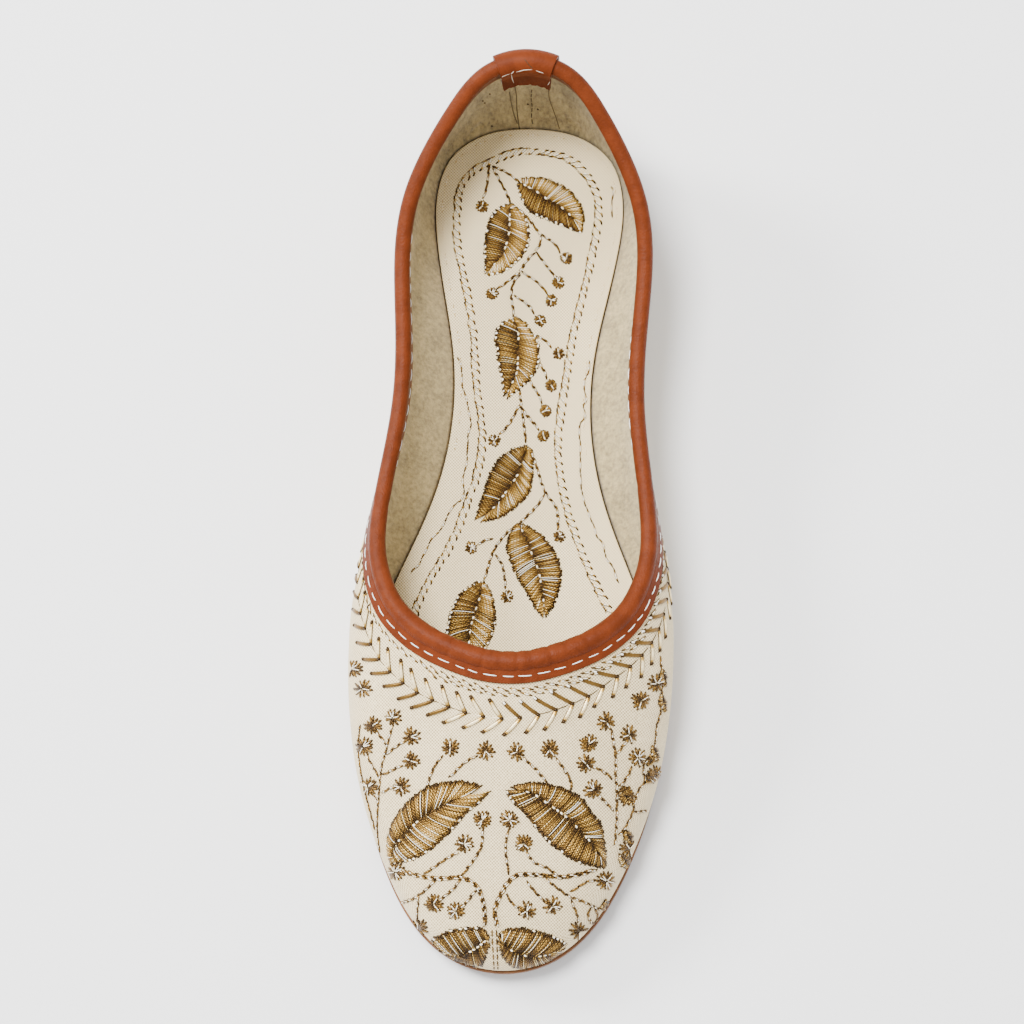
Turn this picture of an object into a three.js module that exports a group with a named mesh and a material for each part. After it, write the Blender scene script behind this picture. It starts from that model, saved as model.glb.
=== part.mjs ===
// A mojari: a flat slip-on dress shoe with a hollow cloth-covered upper on a stitched leather sole.
// Millimetres, +Z up, the toe at -Y and the heel at +Y, standing on its heel and forefoot at z = 0.
// The last is straight and symmetric, so one half is described and the other half mirrors it.
import * as THREE from 'three';

// Driving dimensions of the last.
const LAST_LENGTH = 240.3;      // feather line, toe to heel
const BALL_WIDTH = 84;          // feather line, widest, at the ball
const INSTEP_HEIGHT = 42.5;     // throat of the vamp above the sole
const HEEL_HEIGHT = 8;          // underside of the outsole above the ground at the heel
const TOE_SPRING = 5;           // the same at the very toe
const TOE_Y = -121.7;           // feather line at the toe, which centres the shoe's box on y = 0

// Thicknesses and clearances.
const WALL = 1.8;               // cloth, backing and lining of the upper together
const OUTSOLE = 4.2;
const INSOLE = 2.2;
const GAP = 0.3;                // between two pieces that lie against each other
const WELT = 0.9;               // how far the outsole stands out past the feather line
const EDGE_ROUND = 0.6;         // bevel on the sole's edges

// Where the underside leaves the ground and where the heel lift starts.
const ARCH_START_Y = -4;
const ARCH_END_Y = 70;
const SPRING_START_Y = -58;
const HEEL_BREAST_Y = 62;

// The rolled binding round the collar and the tab folded over it at the back.
const BEAD_RADIUS_BACK = 2.2;
const BEAD_RADIUS_THROAT = 2.9;
const BEAD_TAPER_START = 3;     // sections from the toe between which the bead thins
const BEAD_TAPER_END = 10;
const EDGE_BELOW_BEAD = 1.5;    // from the bead's centre down to the top edge of the wall
const FLANGE_LENGTH = 4.2;
const FLANGE_THICKNESS = 0.7;
const TAB_THICKNESS = 0.9;
const TAB_HALF_WIDTH = 8.8;
const TAB_FLAP_LENGTH = 8.6;    // inside the heel, hanging a little clear of the lining
const TAB_FLAP_LEAN = 1.4;
const TAB_BACK_LENGTH = 13;     // down the outside of the heel
const TAB_SETTLE = 2;           // how far below the binding the tab lies against the wall again

// Sections from the toe (first row) round one side to the back of the heel (last row).
// foot: distance along the last in % of its length, half width in % of the ball width.
// collar: the same two, and the height above the sole in % of the instep height.
// low and high: how far the wall swells out past its foot and its collar, and at what height
// above the foot and below the collar, all in mm.
const SECTIONS = [
  { foot: [0.0, 0.0], collar: [33.3, 0.0, 104.4], low: [1.2, 12.5], high: [60.0, 20.5] },
  { foot: [0.9, 13.0], collar: [33.5, 6.7, 103.9], low: [1.3, 12.5], high: [58.0, 20.5] },
  { foot: [3.6, 24.6], collar: [34.1, 13.2, 102.7], low: [1.5, 13.0], high: [52.0, 20.0] },
  { foot: [8.2, 34.3], collar: [35.0, 20.0, 100.6], low: [1.9, 13.5], high: [43.0, 18.5] },
  { foot: [14.7, 42.4], collar: [36.2, 26.8, 98.1], low: [2.6, 14.0], high: [34.0, 16.5] },
  { foot: [21.8, 47.9], collar: [37.8, 32.9, 95.1], low: [3.5, 14.5], high: [25.5, 14.5] },
  { foot: [29.3, 50.0], collar: [40.0, 38.4, 91.4], low: [4.0, 15.0], high: [17.5, 13.0] },
  { foot: [36.7, 49.0], collar: [43.2, 42.7, 87.2], low: [4.8, 15.0], high: [11.0, 12.0] },
  { foot: [43.8, 43.7], collar: [47.3, 44.9, 83.4], low: [6.6, 14.0], high: [6.4, 11.5] },
  { foot: [50.5, 35.9], collar: [52.5, 44.0, 80.9], low: [7.6, 12.5], high: [3.0, 11.5] },
  { foot: [57.1, 29.2], collar: [58.2, 41.6, 80.2], low: [7.4, 11.5], high: [0.6, 12.0] },
  { foot: [64.2, 25.6], collar: [64.2, 39.6, 81.0], low: [6.6, 11.0], high: [-0.6, 12.5] },
  { foot: [71.3, 26.0], collar: [70.5, 39.5, 84.4], low: [6.0, 11.5], high: [-0.6, 13.5] },
  { foot: [77.9, 29.3], collar: [76.7, 40.5, 89.6], low: [5.4, 13.0], high: [-0.2, 14.5] },
  { foot: [84.2, 32.6], collar: [82.1, 40.5, 95.4], low: [4.6, 14.0], high: [0.3, 15.5] },
  { foot: [90.0, 33.7], collar: [87.1, 37.8, 104.2], low: [4.2, 14.5], high: [0.9, 16.5] },
  { foot: [95.2, 29.6], collar: [91.8, 31.9, 113.5], low: [4.4, 15.0], high: [1.6, 17.5] },
  { foot: [98.2, 20.2], collar: [95.9, 24.5, 125.2], low: [4.6, 15.5], high: [2.2, 18.5] },
  { foot: [99.4, 10.5], collar: [99.6, 14.6, 137.9], low: [4.6, 16.0], high: [1.6, 19.5] },
  { foot: [99.7, 0.0], collar: [101.1, 0.0, 143.1], low: [4.6, 16.0], high: [1.2, 20.0] },
];

const HALF = SECTIONS.length - 1;  // spans in one half of the loop
const HEEL_SIDE = HALF - 4;        // the section where the side of the heel starts

// Facets.
const COLUMNS_PER_SPAN = 3;
const COLUMNS = 2 * HALF * COLUMNS_PER_SPAN;
const WALL_ROWS = 9;
const BEAD_FACETS = 10;
const TAB_FACETS = 8;              // over the bead
const TAB_COLUMNS = 8;

// Settling of the two numerical searches, and the step of a direction taken from two points.
const SPLINE_SWEEPS = 40;
const HALVINGS = 30;
const STATION_STEP = 1e-3;

const alongToY = (percent) => TOE_Y + (percent / 100) * LAST_LENGTH;

// Height of the outsole's underside above the ground.
function undersideHeight(y) {
  const arch = THREE.MathUtils.smoothstep(y, ARCH_START_Y, ARCH_END_Y);
  const spring = Math.max(0, (SPRING_START_Y - y) / (SPRING_START_Y - TOE_Y));
  return HEEL_HEIGHT * arch + TOE_SPRING * spring ** 2;
}

const featherHeight = (y) => undersideHeight(y) + OUTSOLE + GAP;

// Each table column becomes a smooth closed loop through the sections and their mirror images.
// A column that changes sign across the centre line (a half width) is odd, the others are even.
function loopThrough(values, odd) {
  const mirrored = (list, i) => {
    if (i < 0) return (odd ? -1 : 1) * list[-i];
    if (i > HALF) return (odd ? -1 : 1) * list[2 * HALF - i];
    return list[i];
  };
  const control = [...values];
  for (let sweep = 0; sweep < SPLINE_SWEEPS; sweep++) {
    for (let i = 0; i <= HALF; i++) {
      const neighbours = mirrored(control, i - 1) + mirrored(control, i + 1);
      control[i] = odd && i % HALF === 0 ? 0 : (6 * values[i] - neighbours) / 4;
    }
  }
  return (station) => {
    const whole = Math.floor(station);
    const f = station - whole;
    const weights = [(1 - f) ** 3, 3 * f ** 3 - 6 * f ** 2 + 4, -3 * f ** 3 + 3 * f ** 2 + 3 * f + 1, f ** 3];
    let sum = 0;
    weights.forEach((weight, k) => {
      const turn = (whole + k - 1 + 2 * HALF) % (2 * HALF);
      const sign = odd && turn > HALF ? -1 : 1;
      sum += (weight / 6) * sign * control[turn > HALF ? 2 * HALF - turn : turn];
    });
    return sum;
  };
}

const column = (pick, odd = false) => loopThrough(SECTIONS.map(pick), odd);
const footHalf = column((s) => (s.foot[1] / 100) * BALL_WIDTH, true);
const footY = column((s) => alongToY(s.foot[0]));
const collarHalf = column((s) => (s.collar[1] / 100) * BALL_WIDTH, true);
const collarY = column((s) => alongToY(s.collar[0]));
const collarZ = column((s) => OUTSOLE + GAP + (s.collar[2] / 100) * INSTEP_HEIGHT);
const lowOut = column((s) => s.low[0]);
const lowUp = column((s) => s.low[1]);
const highOut = column((s) => s.high[0]);
const highDrop = column((s) => s.high[1]);

// Outward direction in plan of a loop given by two functions of the station.
function planNormal(xOf, yOf, station) {
  const dx = xOf(station + STATION_STEP) - xOf(station - STATION_STEP);
  const dy = yOf(station + STATION_STEP) - yOf(station - STATION_STEP);
  return new THREE.Vector3(dy, -dx, 0).normalize();
}

// Outside of the wall at a station: a cubic from the feather line (t = 0) up to the collar (t = 1).
function wallCurve(station) {
  const foot = new THREE.Vector3(footHalf(station), footY(station), 0);
  foot.z = featherHeight(foot.y);
  const collar = new THREE.Vector3(collarHalf(station), collarY(station), collarZ(station));
  const low = foot.clone().addScaledVector(planNormal(footHalf, footY, station), lowOut(station));
  low.z += lowUp(station);
  const high = collar.clone().addScaledVector(planNormal(collarHalf, collarY, station), highOut(station));
  high.z -= highDrop(station);
  return new THREE.CubicBezierCurve3(foot, low, high, collar);
}

// The wall at one station: its outer curve, and the curves a small step to either side that
// give the direction square to its face.
class WallSection {
  constructor(station) {
    this.curve = wallCurve(station);
    this.before = wallCurve(station - STATION_STEP);
    this.after = wallCurve(station + STATION_STEP);
    this.length = this.curve.getLength();
  }

  // A point at a depth inside the outer face. On the feather line the depth is measured level,
  // so that the wall's lower edge stays flat on the sole.
  layer(t, depth) {
    const round = this.after.getPoint(t).sub(this.before.getPoint(t));
    const normal = round.cross(this.curve.getTangent(t)).normalize();
    const point = this.curve.getPoint(t);
    if (t > 0) return point.addScaledVector(normal, -depth);
    const level = Math.hypot(normal.x, normal.y);
    point.x -= (depth * normal.x) / level ** 2;
    point.y -= (depth * normal.y) / level ** 2;
    point.z = featherHeight(point.y);
    return point;
  }

  // The value of t at a distance down the wall from the collar.
  belowCollar(distance) {
    return this.curve.getUtoTmapping(0, this.length - distance);
  }

  // A point given across the wall (0 at its middle, outward positive) and along it (0 at the
  // collar, upward positive). Above the collar the wall's surface goes straight on.
  place(across, along) {
    const depth = WALL / 2 - across;
    if (along < 0) return this.layer(this.belowCollar(-along), depth);
    return this.layer(1, depth).addScaledVector(this.curve.getTangent(1), along);
  }
}

const columnStations = Array.from({ length: COLUMNS }, (_, i) => (i / COLUMNS) * 2 * HALF);

// Turns a grid of points, rings of equal length one after another, into a closed body. Rings
// join end to end when looped, and otherwise the first and last ring are closed by cap faces.
function bodyFromRings(rings, { looped, caps = [] }) {
  const size = rings[0].length;
  const positions = rings.flat().flatMap((p) => [p.x, p.y, p.z]);
  const index = [];
  const last = looped ? rings.length : rings.length - 1;
  for (let r = 0; r < last; r++) {
    for (let k = 0; k < size; k++) {
      const a = r * size + k;
      const b = r * size + ((k + 1) % size);
      const c = ((r + 1) % rings.length) * size + k;
      const d = ((r + 1) % rings.length) * size + ((k + 1) % size);
      index.push(a, d, b, a, c, d);
    }
  }
  if (!looped) {
    const end = (rings.length - 1) * size;
    for (const [a, b, c] of caps) index.push(a, b, c, end + a, end + c, end + b);
  }
  const geometry = new THREE.BufferGeometry();
  geometry.setAttribute('position', new THREE.Float32BufferAttribute(positions, 3));
  geometry.setIndex(index);
  return geometry;
}

// Cap faces of a ring whose points face each other in pairs. On a round ring the first point is
// its own partner (start = 0), on an open one the first point faces the last (start = 1).
function pairedCaps(size, start) {
  const partner = (i) => (size - start - i) % size;
  const faces = [];
  for (let i = 0; i < size / 2 - start; i++) {
    const [a, b, c, d] = [i, i + 1, partner(i + 1), partner(i)];
    if (b !== c) faces.push([a, b, c]);
    if (a !== d) faces.push([a, c, d]);
  }
  return faces;
}

// The station between two others up to which a test is true, found by halving.
function lastStation(low, high, test) {
  let [inside, outside] = [low, high];
  for (let i = 0; i < HALVINGS; i++) {
    const middle = (inside + outside) / 2;
    if (test(middle)) inside = middle;
    else outside = middle;
  }
  return inside;
}

function finish(color, roughness) {
  return new THREE.MeshStandardMaterial({ color, roughness, metalness: 0 });
}

function piece(name, geometry, material) {
  geometry.computeVertexNormals();
  const mesh = new THREE.Mesh(geometry, material);
  mesh.name = name;
  return mesh;
}

function beadRadius(station) {
  const fromToe = Math.min(station, 2 * HALF - station);
  const blend = THREE.MathUtils.smoothstep(fromToe, BEAD_TAPER_START, BEAD_TAPER_END);
  return THREE.MathUtils.lerp(BEAD_RADIUS_THROAT, BEAD_RADIUS_BACK, blend);
}

// The upper: one hollow wall, open at the collar and underneath.
function makeUpper() {
  const rings = columnStations.map((station) => {
    const section = new WallSection(station);
    const top = section.belowCollar(EDGE_BELOW_BEAD);
    const outside = [];
    const inside = [];
    for (let k = 0; k <= WALL_ROWS; k++) {
      const t = top * (k / WALL_ROWS);
      outside.push(section.layer(t, 0));
      inside.unshift(section.layer(t, WALL));
    }
    return [...outside, ...inside];
  });
  return piece('upper', bodyFromRings(rings, { looped: true }), finish(0xd9cdb9, 0.85));
}

// Section of the binding, across and along the wall: two flanges that clasp the wall's edge and
// a round bead above it.
function bindingProfile(radius) {
  const slot = WALL / 2 + GAP;
  const side = slot + FLANGE_THICKNESS;
  const bottom = -EDGE_BELOW_BEAD - FLANGE_LENGTH;
  const slotTop = GAP - EDGE_BELOW_BEAD;
  const join = Math.asin(Math.min(1, side / radius));
  const bead = [];
  for (let k = 0; k <= BEAD_FACETS; k++) {
    const angle = THREE.MathUtils.lerp(Math.PI - join, join - Math.PI, k / BEAD_FACETS);
    bead.push([radius * Math.sin(angle), radius * Math.cos(angle)]);
  }
  return [
    [side, bottom], [side, bottom / 2], ...bead, [-side, bottom / 2], [-side, bottom],
    [-slot, bottom], [-slot, bottom / 2], [-slot, slotTop],
    [slot, slotTop], [slot, bottom / 2], [slot, bottom],
  ];
}

function makeBinding() {
  const rings = columnStations.map((station) => {
    const section = new WallSection(station);
    return bindingProfile(beadRadius(station)).map(([across, along]) => section.place(across, along));
  });
  return piece('collar_binding', bodyFromRings(rings, { looped: true }), finish(0xa4502c, 0.45));
}

// One face of the folded tab, from its lower edge behind the heel, over the bead and down to
// the flap inside. The tab's faces are this path at the leather's two sides.
function tabPath(offset) {
  const radius = BEAD_RADIUS_BACK + GAP + offset;
  const behindFlange = WALL / 2 + 2 * GAP + FLANGE_THICKNESS + offset;
  const behindWall = WALL / 2 + GAP + offset;
  const flangeEnd = -EDGE_BELOW_BEAD - FLANGE_LENGTH;
  const path = [
    [behindWall, -TAB_BACK_LENGTH],
    [behindWall, flangeEnd - TAB_SETTLE],
    [behindFlange, flangeEnd - GAP],
  ];
  for (let k = 0; k <= TAB_FACETS; k++) {
    const angle = Math.PI * (0.5 - k / TAB_FACETS);
    path.push([radius * Math.sin(angle), radius * Math.cos(angle)]);
  }
  for (const part of [0.5, 1]) path.push([-radius - TAB_FLAP_LEAN * part, -TAB_FLAP_LENGTH * part]);
  return path;
}

// The station between the side of the heel and its back where the collar has a half width.
const backStation = (half) => lastStation(HEEL_SIDE, HALF, (station) => collarHalf(station) > half);

// The heel tab: a strip of leather folded over the binding at the back of the heel.
function makeHeelTab() {
  const profile = [...tabPath(TAB_THICKNESS), ...tabPath(0).reverse()];
  const caps = pairedCaps(profile.length, 1);
  const rings = [];
  for (let i = 0; i <= TAB_COLUMNS; i++) {
    const x = TAB_HALF_WIDTH * (1 - (2 * i) / TAB_COLUMNS);
    const station = x >= 0 ? backStation(x) : 2 * HALF - backStation(-x);
    const section = new WallSection(station);
    rings.push(profile.map(([across, along]) => section.place(across, along)));
  }
  return piece('heel_tab', bodyFromRings(rings, { looped: false, caps }), finish(0xb0592f, 0.5));
}

// A ring of the sole: the feather line moved outward, at a height worked out from y.
function soleRing(stations, outward, heightAt) {
  return stations.map((station) => {
    const normal = planNormal(footHalf, footY, station);
    const x = footHalf(station) + outward * normal.x;
    const y = footY(station) + outward * normal.y;
    return new THREE.Vector3(x, y, heightAt(y));
  });
}

function makeOutsole() {
  const rings = [
    soleRing(columnStations, WELT - EDGE_ROUND / 2, (y) => undersideHeight(y) + OUTSOLE),
    soleRing(columnStations, WELT, (y) => undersideHeight(y) + OUTSOLE - EDGE_ROUND / 2),
    soleRing(columnStations, WELT, (y) => undersideHeight(y) + EDGE_ROUND),
    soleRing(columnStations, WELT - EDGE_ROUND, undersideHeight),
  ];
  const caps = pairedCaps(COLUMNS, 0);
  return piece('outsole', bodyFromRings(rings, { looped: false, caps }), finish(0x9c6b3f, 0.6));
}

// The insole fills the foot of the upper from wall to wall.
function makeInsole() {
  const ring = (inset, height) => columnStations.map((station) => {
    const point = new WallSection(station).layer(0, WALL + GAP + inset);
    point.z = undersideHeight(point.y) + height;
    return point;
  });
  const bottom = OUTSOLE + GAP;
  const rings = [ring(EDGE_ROUND, bottom + INSOLE), ring(0, bottom + INSOLE - EDGE_ROUND), ring(0, bottom)];
  const caps = pairedCaps(COLUMNS, 0);
  return piece('insole', bodyFromRings(rings, { looped: false, caps }), finish(0xd9cdb9, 0.85));
}

// The heel lift: one stacked leather block with a straight breast.
function makeHeel() {
  const breast = lastStation(HALF / 2, HALF, (station) => footY(station) < HEEL_BREAST_Y);
  const steps = 2 * Math.ceil((HALF - breast) * COLUMNS_PER_SPAN) + 1;
  const stations = Array.from({ length: steps + 1 }, (_, i) => (
    THREE.MathUtils.lerp(breast, 2 * HALF - breast, i / steps)));
  const rings = [
    soleRing(stations, WELT - EDGE_ROUND, (y) => undersideHeight(y) - GAP),
    soleRing(stations, WELT - 2 * EDGE_ROUND, () => EDGE_ROUND),
    soleRing(stations, WELT - 3 * EDGE_ROUND, () => 0),
  ];
  const caps = pairedCaps(stations.length, 1);
  return piece('heel_lift', bodyFromRings(rings, { looped: false, caps }), finish(0x7c4f2c, 0.6));
}

const group = new THREE.Group();
group.add(makeOutsole(), makeHeel(), makeUpper(), makeInsole(), makeBinding(), makeHeelTab());
export default group;
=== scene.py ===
# A mojari: a flat slip-on dress shoe of cream cloth, worked with gold thread, bound round the
# collar in tan leather, on a plain leather sole with a low heel. Metres, +Z up, toe at -Y.
import math
import bpy
import numpy as np
from mathutils import Matrix, Vector
from mathutils.bvhtree import BVHTree


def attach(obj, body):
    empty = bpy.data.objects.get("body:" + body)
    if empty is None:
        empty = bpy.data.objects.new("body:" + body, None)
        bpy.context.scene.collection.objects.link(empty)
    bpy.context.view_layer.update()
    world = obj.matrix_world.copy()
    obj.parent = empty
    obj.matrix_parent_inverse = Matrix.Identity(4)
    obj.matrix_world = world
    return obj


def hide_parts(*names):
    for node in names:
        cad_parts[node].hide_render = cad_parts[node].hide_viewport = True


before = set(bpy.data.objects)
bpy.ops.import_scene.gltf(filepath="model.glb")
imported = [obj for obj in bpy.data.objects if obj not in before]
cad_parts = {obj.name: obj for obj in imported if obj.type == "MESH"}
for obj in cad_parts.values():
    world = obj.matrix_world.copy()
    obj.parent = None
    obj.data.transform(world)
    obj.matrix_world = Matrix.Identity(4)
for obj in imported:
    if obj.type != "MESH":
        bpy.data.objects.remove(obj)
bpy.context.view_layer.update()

# Camera. It stands almost straight over the shoe, leaning ten degrees towards the toe, and is
# rolled so that the heel leans clockwise, as the shoe lies in the photograph. The needlework
# further down is charted in the photograph's pixels, and rays from this camera lay it on the cloth.
TARGET = Vector((0.0, 0.0036, 0.025))
DISTANCE = 1.0
NEAREST_SEEN = 0.05
PIXELS_PER_METRE = 3620.0
PICTURE = 1024
SIDE_LEAN = math.radians(2.2)
TOE_LEAN = math.radians(10.0)
ROLL = math.radians(2.3)
TARGET_IN_PHOTO = (347.6, 508.0)
TARGET_IN_PICTURE = (516.0, 511.5)

to_camera = Vector((math.sin(SIDE_LEAN), -math.sin(TOE_LEAN), 0))
to_camera.z = math.sqrt(1 - to_camera.length_squared)
heelward = (Vector((0, 1, 0)) - to_camera * to_camera.y).normalized()
rightward = heelward.cross(to_camera)
camera_up = heelward * math.cos(ROLL) - rightward * math.sin(ROLL)
camera_right = rightward * math.cos(ROLL) + heelward * math.sin(ROLL)
eye = TARGET + to_camera * DISTANCE


def photo_ray(u, v):
    """The direction from the camera's place through a pixel of the photograph."""
    right = (u - TARGET_IN_PHOTO[0]) / PIXELS_PER_METRE
    up = (TARGET_IN_PHOTO[1] - v) / PIXELS_PER_METRE
    return (camera_right * right + camera_up * up - to_camera * DISTANCE).normalized()


camera_data = bpy.data.cameras.new("camera")
camera_data.lens = camera_data.sensor_width * PIXELS_PER_METRE * DISTANCE / PICTURE
camera_data.clip_start = NEAREST_SEEN
camera = bpy.data.objects.new("camera", camera_data)
aside = (PICTURE / 2 - TARGET_IN_PICTURE[0]) / PIXELS_PER_METRE
aloft = (TARGET_IN_PICTURE[1] - PICTURE / 2) / PIXELS_PER_METRE
placed = Matrix((camera_right, camera_up, to_camera)).transposed().to_4x4()
placed.translation = eye + camera_right * aside + camera_up * aloft
camera.matrix_world = placed
bpy.context.scene.collection.objects.link(camera)
bpy.context.scene.camera = camera

# Outsole. One piece of vegetable tanned leather, cut to the bottom edge of a straight last with a
# narrow margin, its edge trimmed square and rubbed smooth, and its grain side to the ground.
LAST_LENGTH = 0.2403
BALL_WIDTH = 0.084
INSTEP_HEIGHT = 0.0425
HEEL_HEIGHT = 0.008
TOE_SPRING = 0.005
TOE_Y = -0.1217
OUTSOLE = 0.0042
GAP = 0.0003
MM = 0.001
SPRING_START = -0.058
ARCH_START = -0.004
ARCH_END = 0.070
WELT = 0.0008
EDGE_ROUND = 0.00042
STATION_STEP = 1e-3

# The last's sections, from the toe round one side to the back of the heel. The other side mirrors
# them. foot: % of the length, half width in % of the ball width. collar: the same, and height in %
# of the instep height. low and high: how far the wall swells past its foot and collar, in mm.
SECTION_COLUMNS = ("foot_along", "foot_half", "collar_along", "collar_half", "collar_height",
                   "low_out", "low_up", "high_out", "high_drop")
SECTIONS = [
    (0.0, 0.0, 33.3, 0.0, 104.4, 1.2, 12.5, 60.0, 20.5),
    (0.9, 13.0, 33.5, 6.7, 103.9, 1.3, 12.5, 58.0, 20.5),
    (3.6, 24.6, 34.1, 13.2, 102.7, 1.5, 13.0, 52.0, 20.0),
    (8.2, 34.3, 35.0, 20.0, 100.6, 1.9, 13.5, 43.0, 18.5),
    (14.7, 42.4, 36.2, 26.8, 98.1, 2.6, 14.0, 34.0, 16.5),
    (21.8, 47.9, 37.8, 32.9, 95.1, 3.5, 14.5, 25.5, 14.5),
    (29.3, 50.0, 40.0, 38.4, 91.4, 4.0, 15.0, 17.5, 13.0),
    (36.7, 49.0, 43.2, 42.7, 87.2, 4.8, 15.0, 11.0, 12.0),
    (43.8, 43.7, 47.3, 44.9, 83.4, 6.6, 14.0, 6.4, 11.5),
    (50.5, 35.9, 52.5, 44.0, 80.9, 7.6, 12.5, 3.0, 11.5),
    (57.1, 29.2, 58.2, 41.6, 80.2, 7.4, 11.5, 0.6, 12.0),
    (64.2, 25.6, 64.2, 39.6, 81.0, 6.6, 11.0, -0.6, 12.5),
    (71.3, 26.0, 70.5, 39.5, 84.4, 6.0, 11.5, -0.6, 13.5),
    (77.9, 29.3, 76.7, 40.5, 89.6, 5.4, 13.0, -0.2, 14.5),
    (84.2, 32.6, 82.1, 40.5, 95.4, 4.6, 14.0, 0.3, 15.5),
    (90.0, 33.7, 87.1, 37.8, 104.2, 4.2, 14.5, 0.9, 16.5),
    (95.2, 29.6, 91.8, 31.9, 113.5, 4.4, 15.0, 1.6, 17.5),
    (98.2, 20.2, 95.9, 24.5, 125.2, 4.6, 15.5, 2.2, 18.5),
    (99.4, 10.5, 99.6, 14.6, 137.9, 4.6, 16.0, 1.6, 19.5),
    (99.7, 0.0, 101.1, 0.0, 143.1, 4.6, 16.0, 1.2, 20.0),
]
HALF = len(SECTIONS) - 1
UNITS = {
    "foot_along": LAST_LENGTH / 100, "foot_half": BALL_WIDTH / 100,
    "collar_along": LAST_LENGTH / 100, "collar_half": BALL_WIDTH / 100,
    "collar_height": INSTEP_HEIGHT / 100,
    "low_out": MM, "low_up": MM, "high_out": MM, "high_drop": MM,
}
STARTS = {"foot_along": TOE_Y, "collar_along": TOE_Y, "collar_height": OUTSOLE + GAP}


def smooth_step(start, end, value):
    t = np.clip((value - start) / (end - start), 0, 1)
    return t * t * (3 - 2 * t)


def underside_height(y):
    """Height of the outsole's underside above the ground."""
    arch = smooth_step(ARCH_START, ARCH_END, y)
    spring = np.clip((SPRING_START - y) / (SPRING_START - TOE_Y), 0, None)
    return HEEL_HEIGHT * arch + TOE_SPRING * spring ** 2


def loop_through(column):
    """A smooth closed loop through one column of the sections and their mirror images."""
    index = SECTION_COLUMNS.index(column)
    values = np.array([row[index] for row in SECTIONS]) * UNITS[column] + STARTS.get(column, 0)
    odd = column.endswith("half")
    ring = np.concatenate([values, (-values if odd else values)[-2:0:-1]])
    count = len(ring)
    spline = 4 * np.eye(count) + np.roll(np.eye(count), 1, 0) + np.roll(np.eye(count), -1, 0)
    control = np.linalg.solve(spline / 6, ring)

    def value_at(station):
        whole = np.floor(station).astype(int)
        f = station - whole
        weights = ((1 - f) ** 3, 3 * f ** 3 - 6 * f ** 2 + 4,
                   -3 * f ** 3 + 3 * f ** 2 + 3 * f + 1, f ** 3)
        return sum(w * control[(whole + k - 1) % count] for k, w in enumerate(weights)) / 6
    return value_at


loops = {column: loop_through(column) for column in SECTION_COLUMNS}


def unit(vectors):
    """Vectors of length one, in the same directions."""
    return vectors / np.linalg.norm(vectors, axis=-1, keepdims=True)


def plan_normal(half, along, station):
    """Outward direction in plan of the foot's or the collar's loop."""
    dx, dy = [loops[k](station + STATION_STEP) - loops[k](station - STATION_STEP) for k in (half, along)]
    return unit(np.stack([dy, -dx, 0 * dx], -1))


def mesh_piece(name, points, faces, finish):
    """A smooth mesh of one finish, put in the scene."""
    mesh = bpy.data.meshes.new(name)
    mesh.from_pydata(points, [], faces)
    mesh.update()
    mesh.shade_smooth()
    mesh.materials.append(finish)
    piece = bpy.data.objects.new(name, mesh)
    bpy.context.scene.collection.objects.link(piece)
    return piece


def solid(name, grid, finish, caps=(), closed_across=True, closed_round=True):
    """A piece from a grid of points. Rows run round the shoe, and columns run across its section."""
    rows, columns = grid.shape[:2]
    r, c = np.meshgrid(np.arange(rows if closed_round else rows - 1),
                       np.arange(columns if closed_across else columns - 1), indexing="ij")
    next_r = (r + 1) % rows
    next_c = (c + 1) % columns
    faces = [r * columns + c, next_r * columns + c, next_r * columns + next_c, r * columns + next_c]
    faces = np.stack(faces, -1).reshape(-1, 4).tolist() + list(caps)
    return mesh_piece(name, grid.reshape(-1, 3).tolist(), faces, finish)


class Wire:
    """A value on its way through a material's nodes. Sums with it add Math nodes."""

    def __init__(self, tree, socket=None):
        self.tree = tree
        self.socket = socket

    def node(self, kind, settings, sockets, out=0):
        """Any other node: its settings first, then the values or wires of its sockets."""
        made = self.tree.nodes.new(kind)
        stops = settings.pop("stops", ())
        for name, value in settings.items():
            setattr(made, name, value)
        while stops and len(made.color_ramp.elements) < len(stops):
            made.color_ramp.elements.new(0.5)
        for k, (position, colour) in enumerate(stops):
            made.color_ramp.elements[k].position = position
            made.color_ramp.elements[k].color = (*colour, 1)
        for key, value in sockets.items():
            if isinstance(value, Wire):
                self.tree.links.new(value.socket, made.inputs[key])
            else:
                made.inputs[key].default_value = value
        return Wire(self.tree, made.outputs[out])

    def math(self, operation, *others):
        return self.node("ShaderNodeMath", {"operation": operation}, dict(enumerate((self,) + others)))

    def __add__(self, other):
        return self.math("ADD", other)

    def __mul__(self, other):
        return self.math("MULTIPLY", other)

    def __sub__(self, other):
        return self.math("SUBTRACT", other)

    def __rsub__(self, other):
        return self.node("ShaderNodeMath", {"operation": "SUBTRACT"}, {0: other, 1: self})

    def __pow__(self, other):
        return self.math("POWER", other)

    __radd__ = __add__
    __rmul__ = __mul__


def blend(factor, first, second):
    """Mixes two colours."""
    values = {0: factor, 6: (*first, 1), 7: (*second, 1)}
    return factor.node("ShaderNodeMix", {"data_type": "RGBA"}, values, out=2)


def noise(where, scale, detail=4, roughness=0.55):
    values = {"Vector": where, "Scale": scale, "Detail": detail, "Roughness": roughness}
    return where.node("ShaderNodeTexNoise", {"noise_dimensions": "3D"}, values)


def ramp(value, *stops):
    greys = [(position, (level, level, level)) for position, level in stops]
    return value.node("ShaderNodeValToRGB", {"stops": greys}, {0: value})


def bump(height, distance, strength=1.0):
    return height.node("ShaderNodeBump", {}, {"Height": height, "Distance": distance, "Strength": strength})


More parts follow.
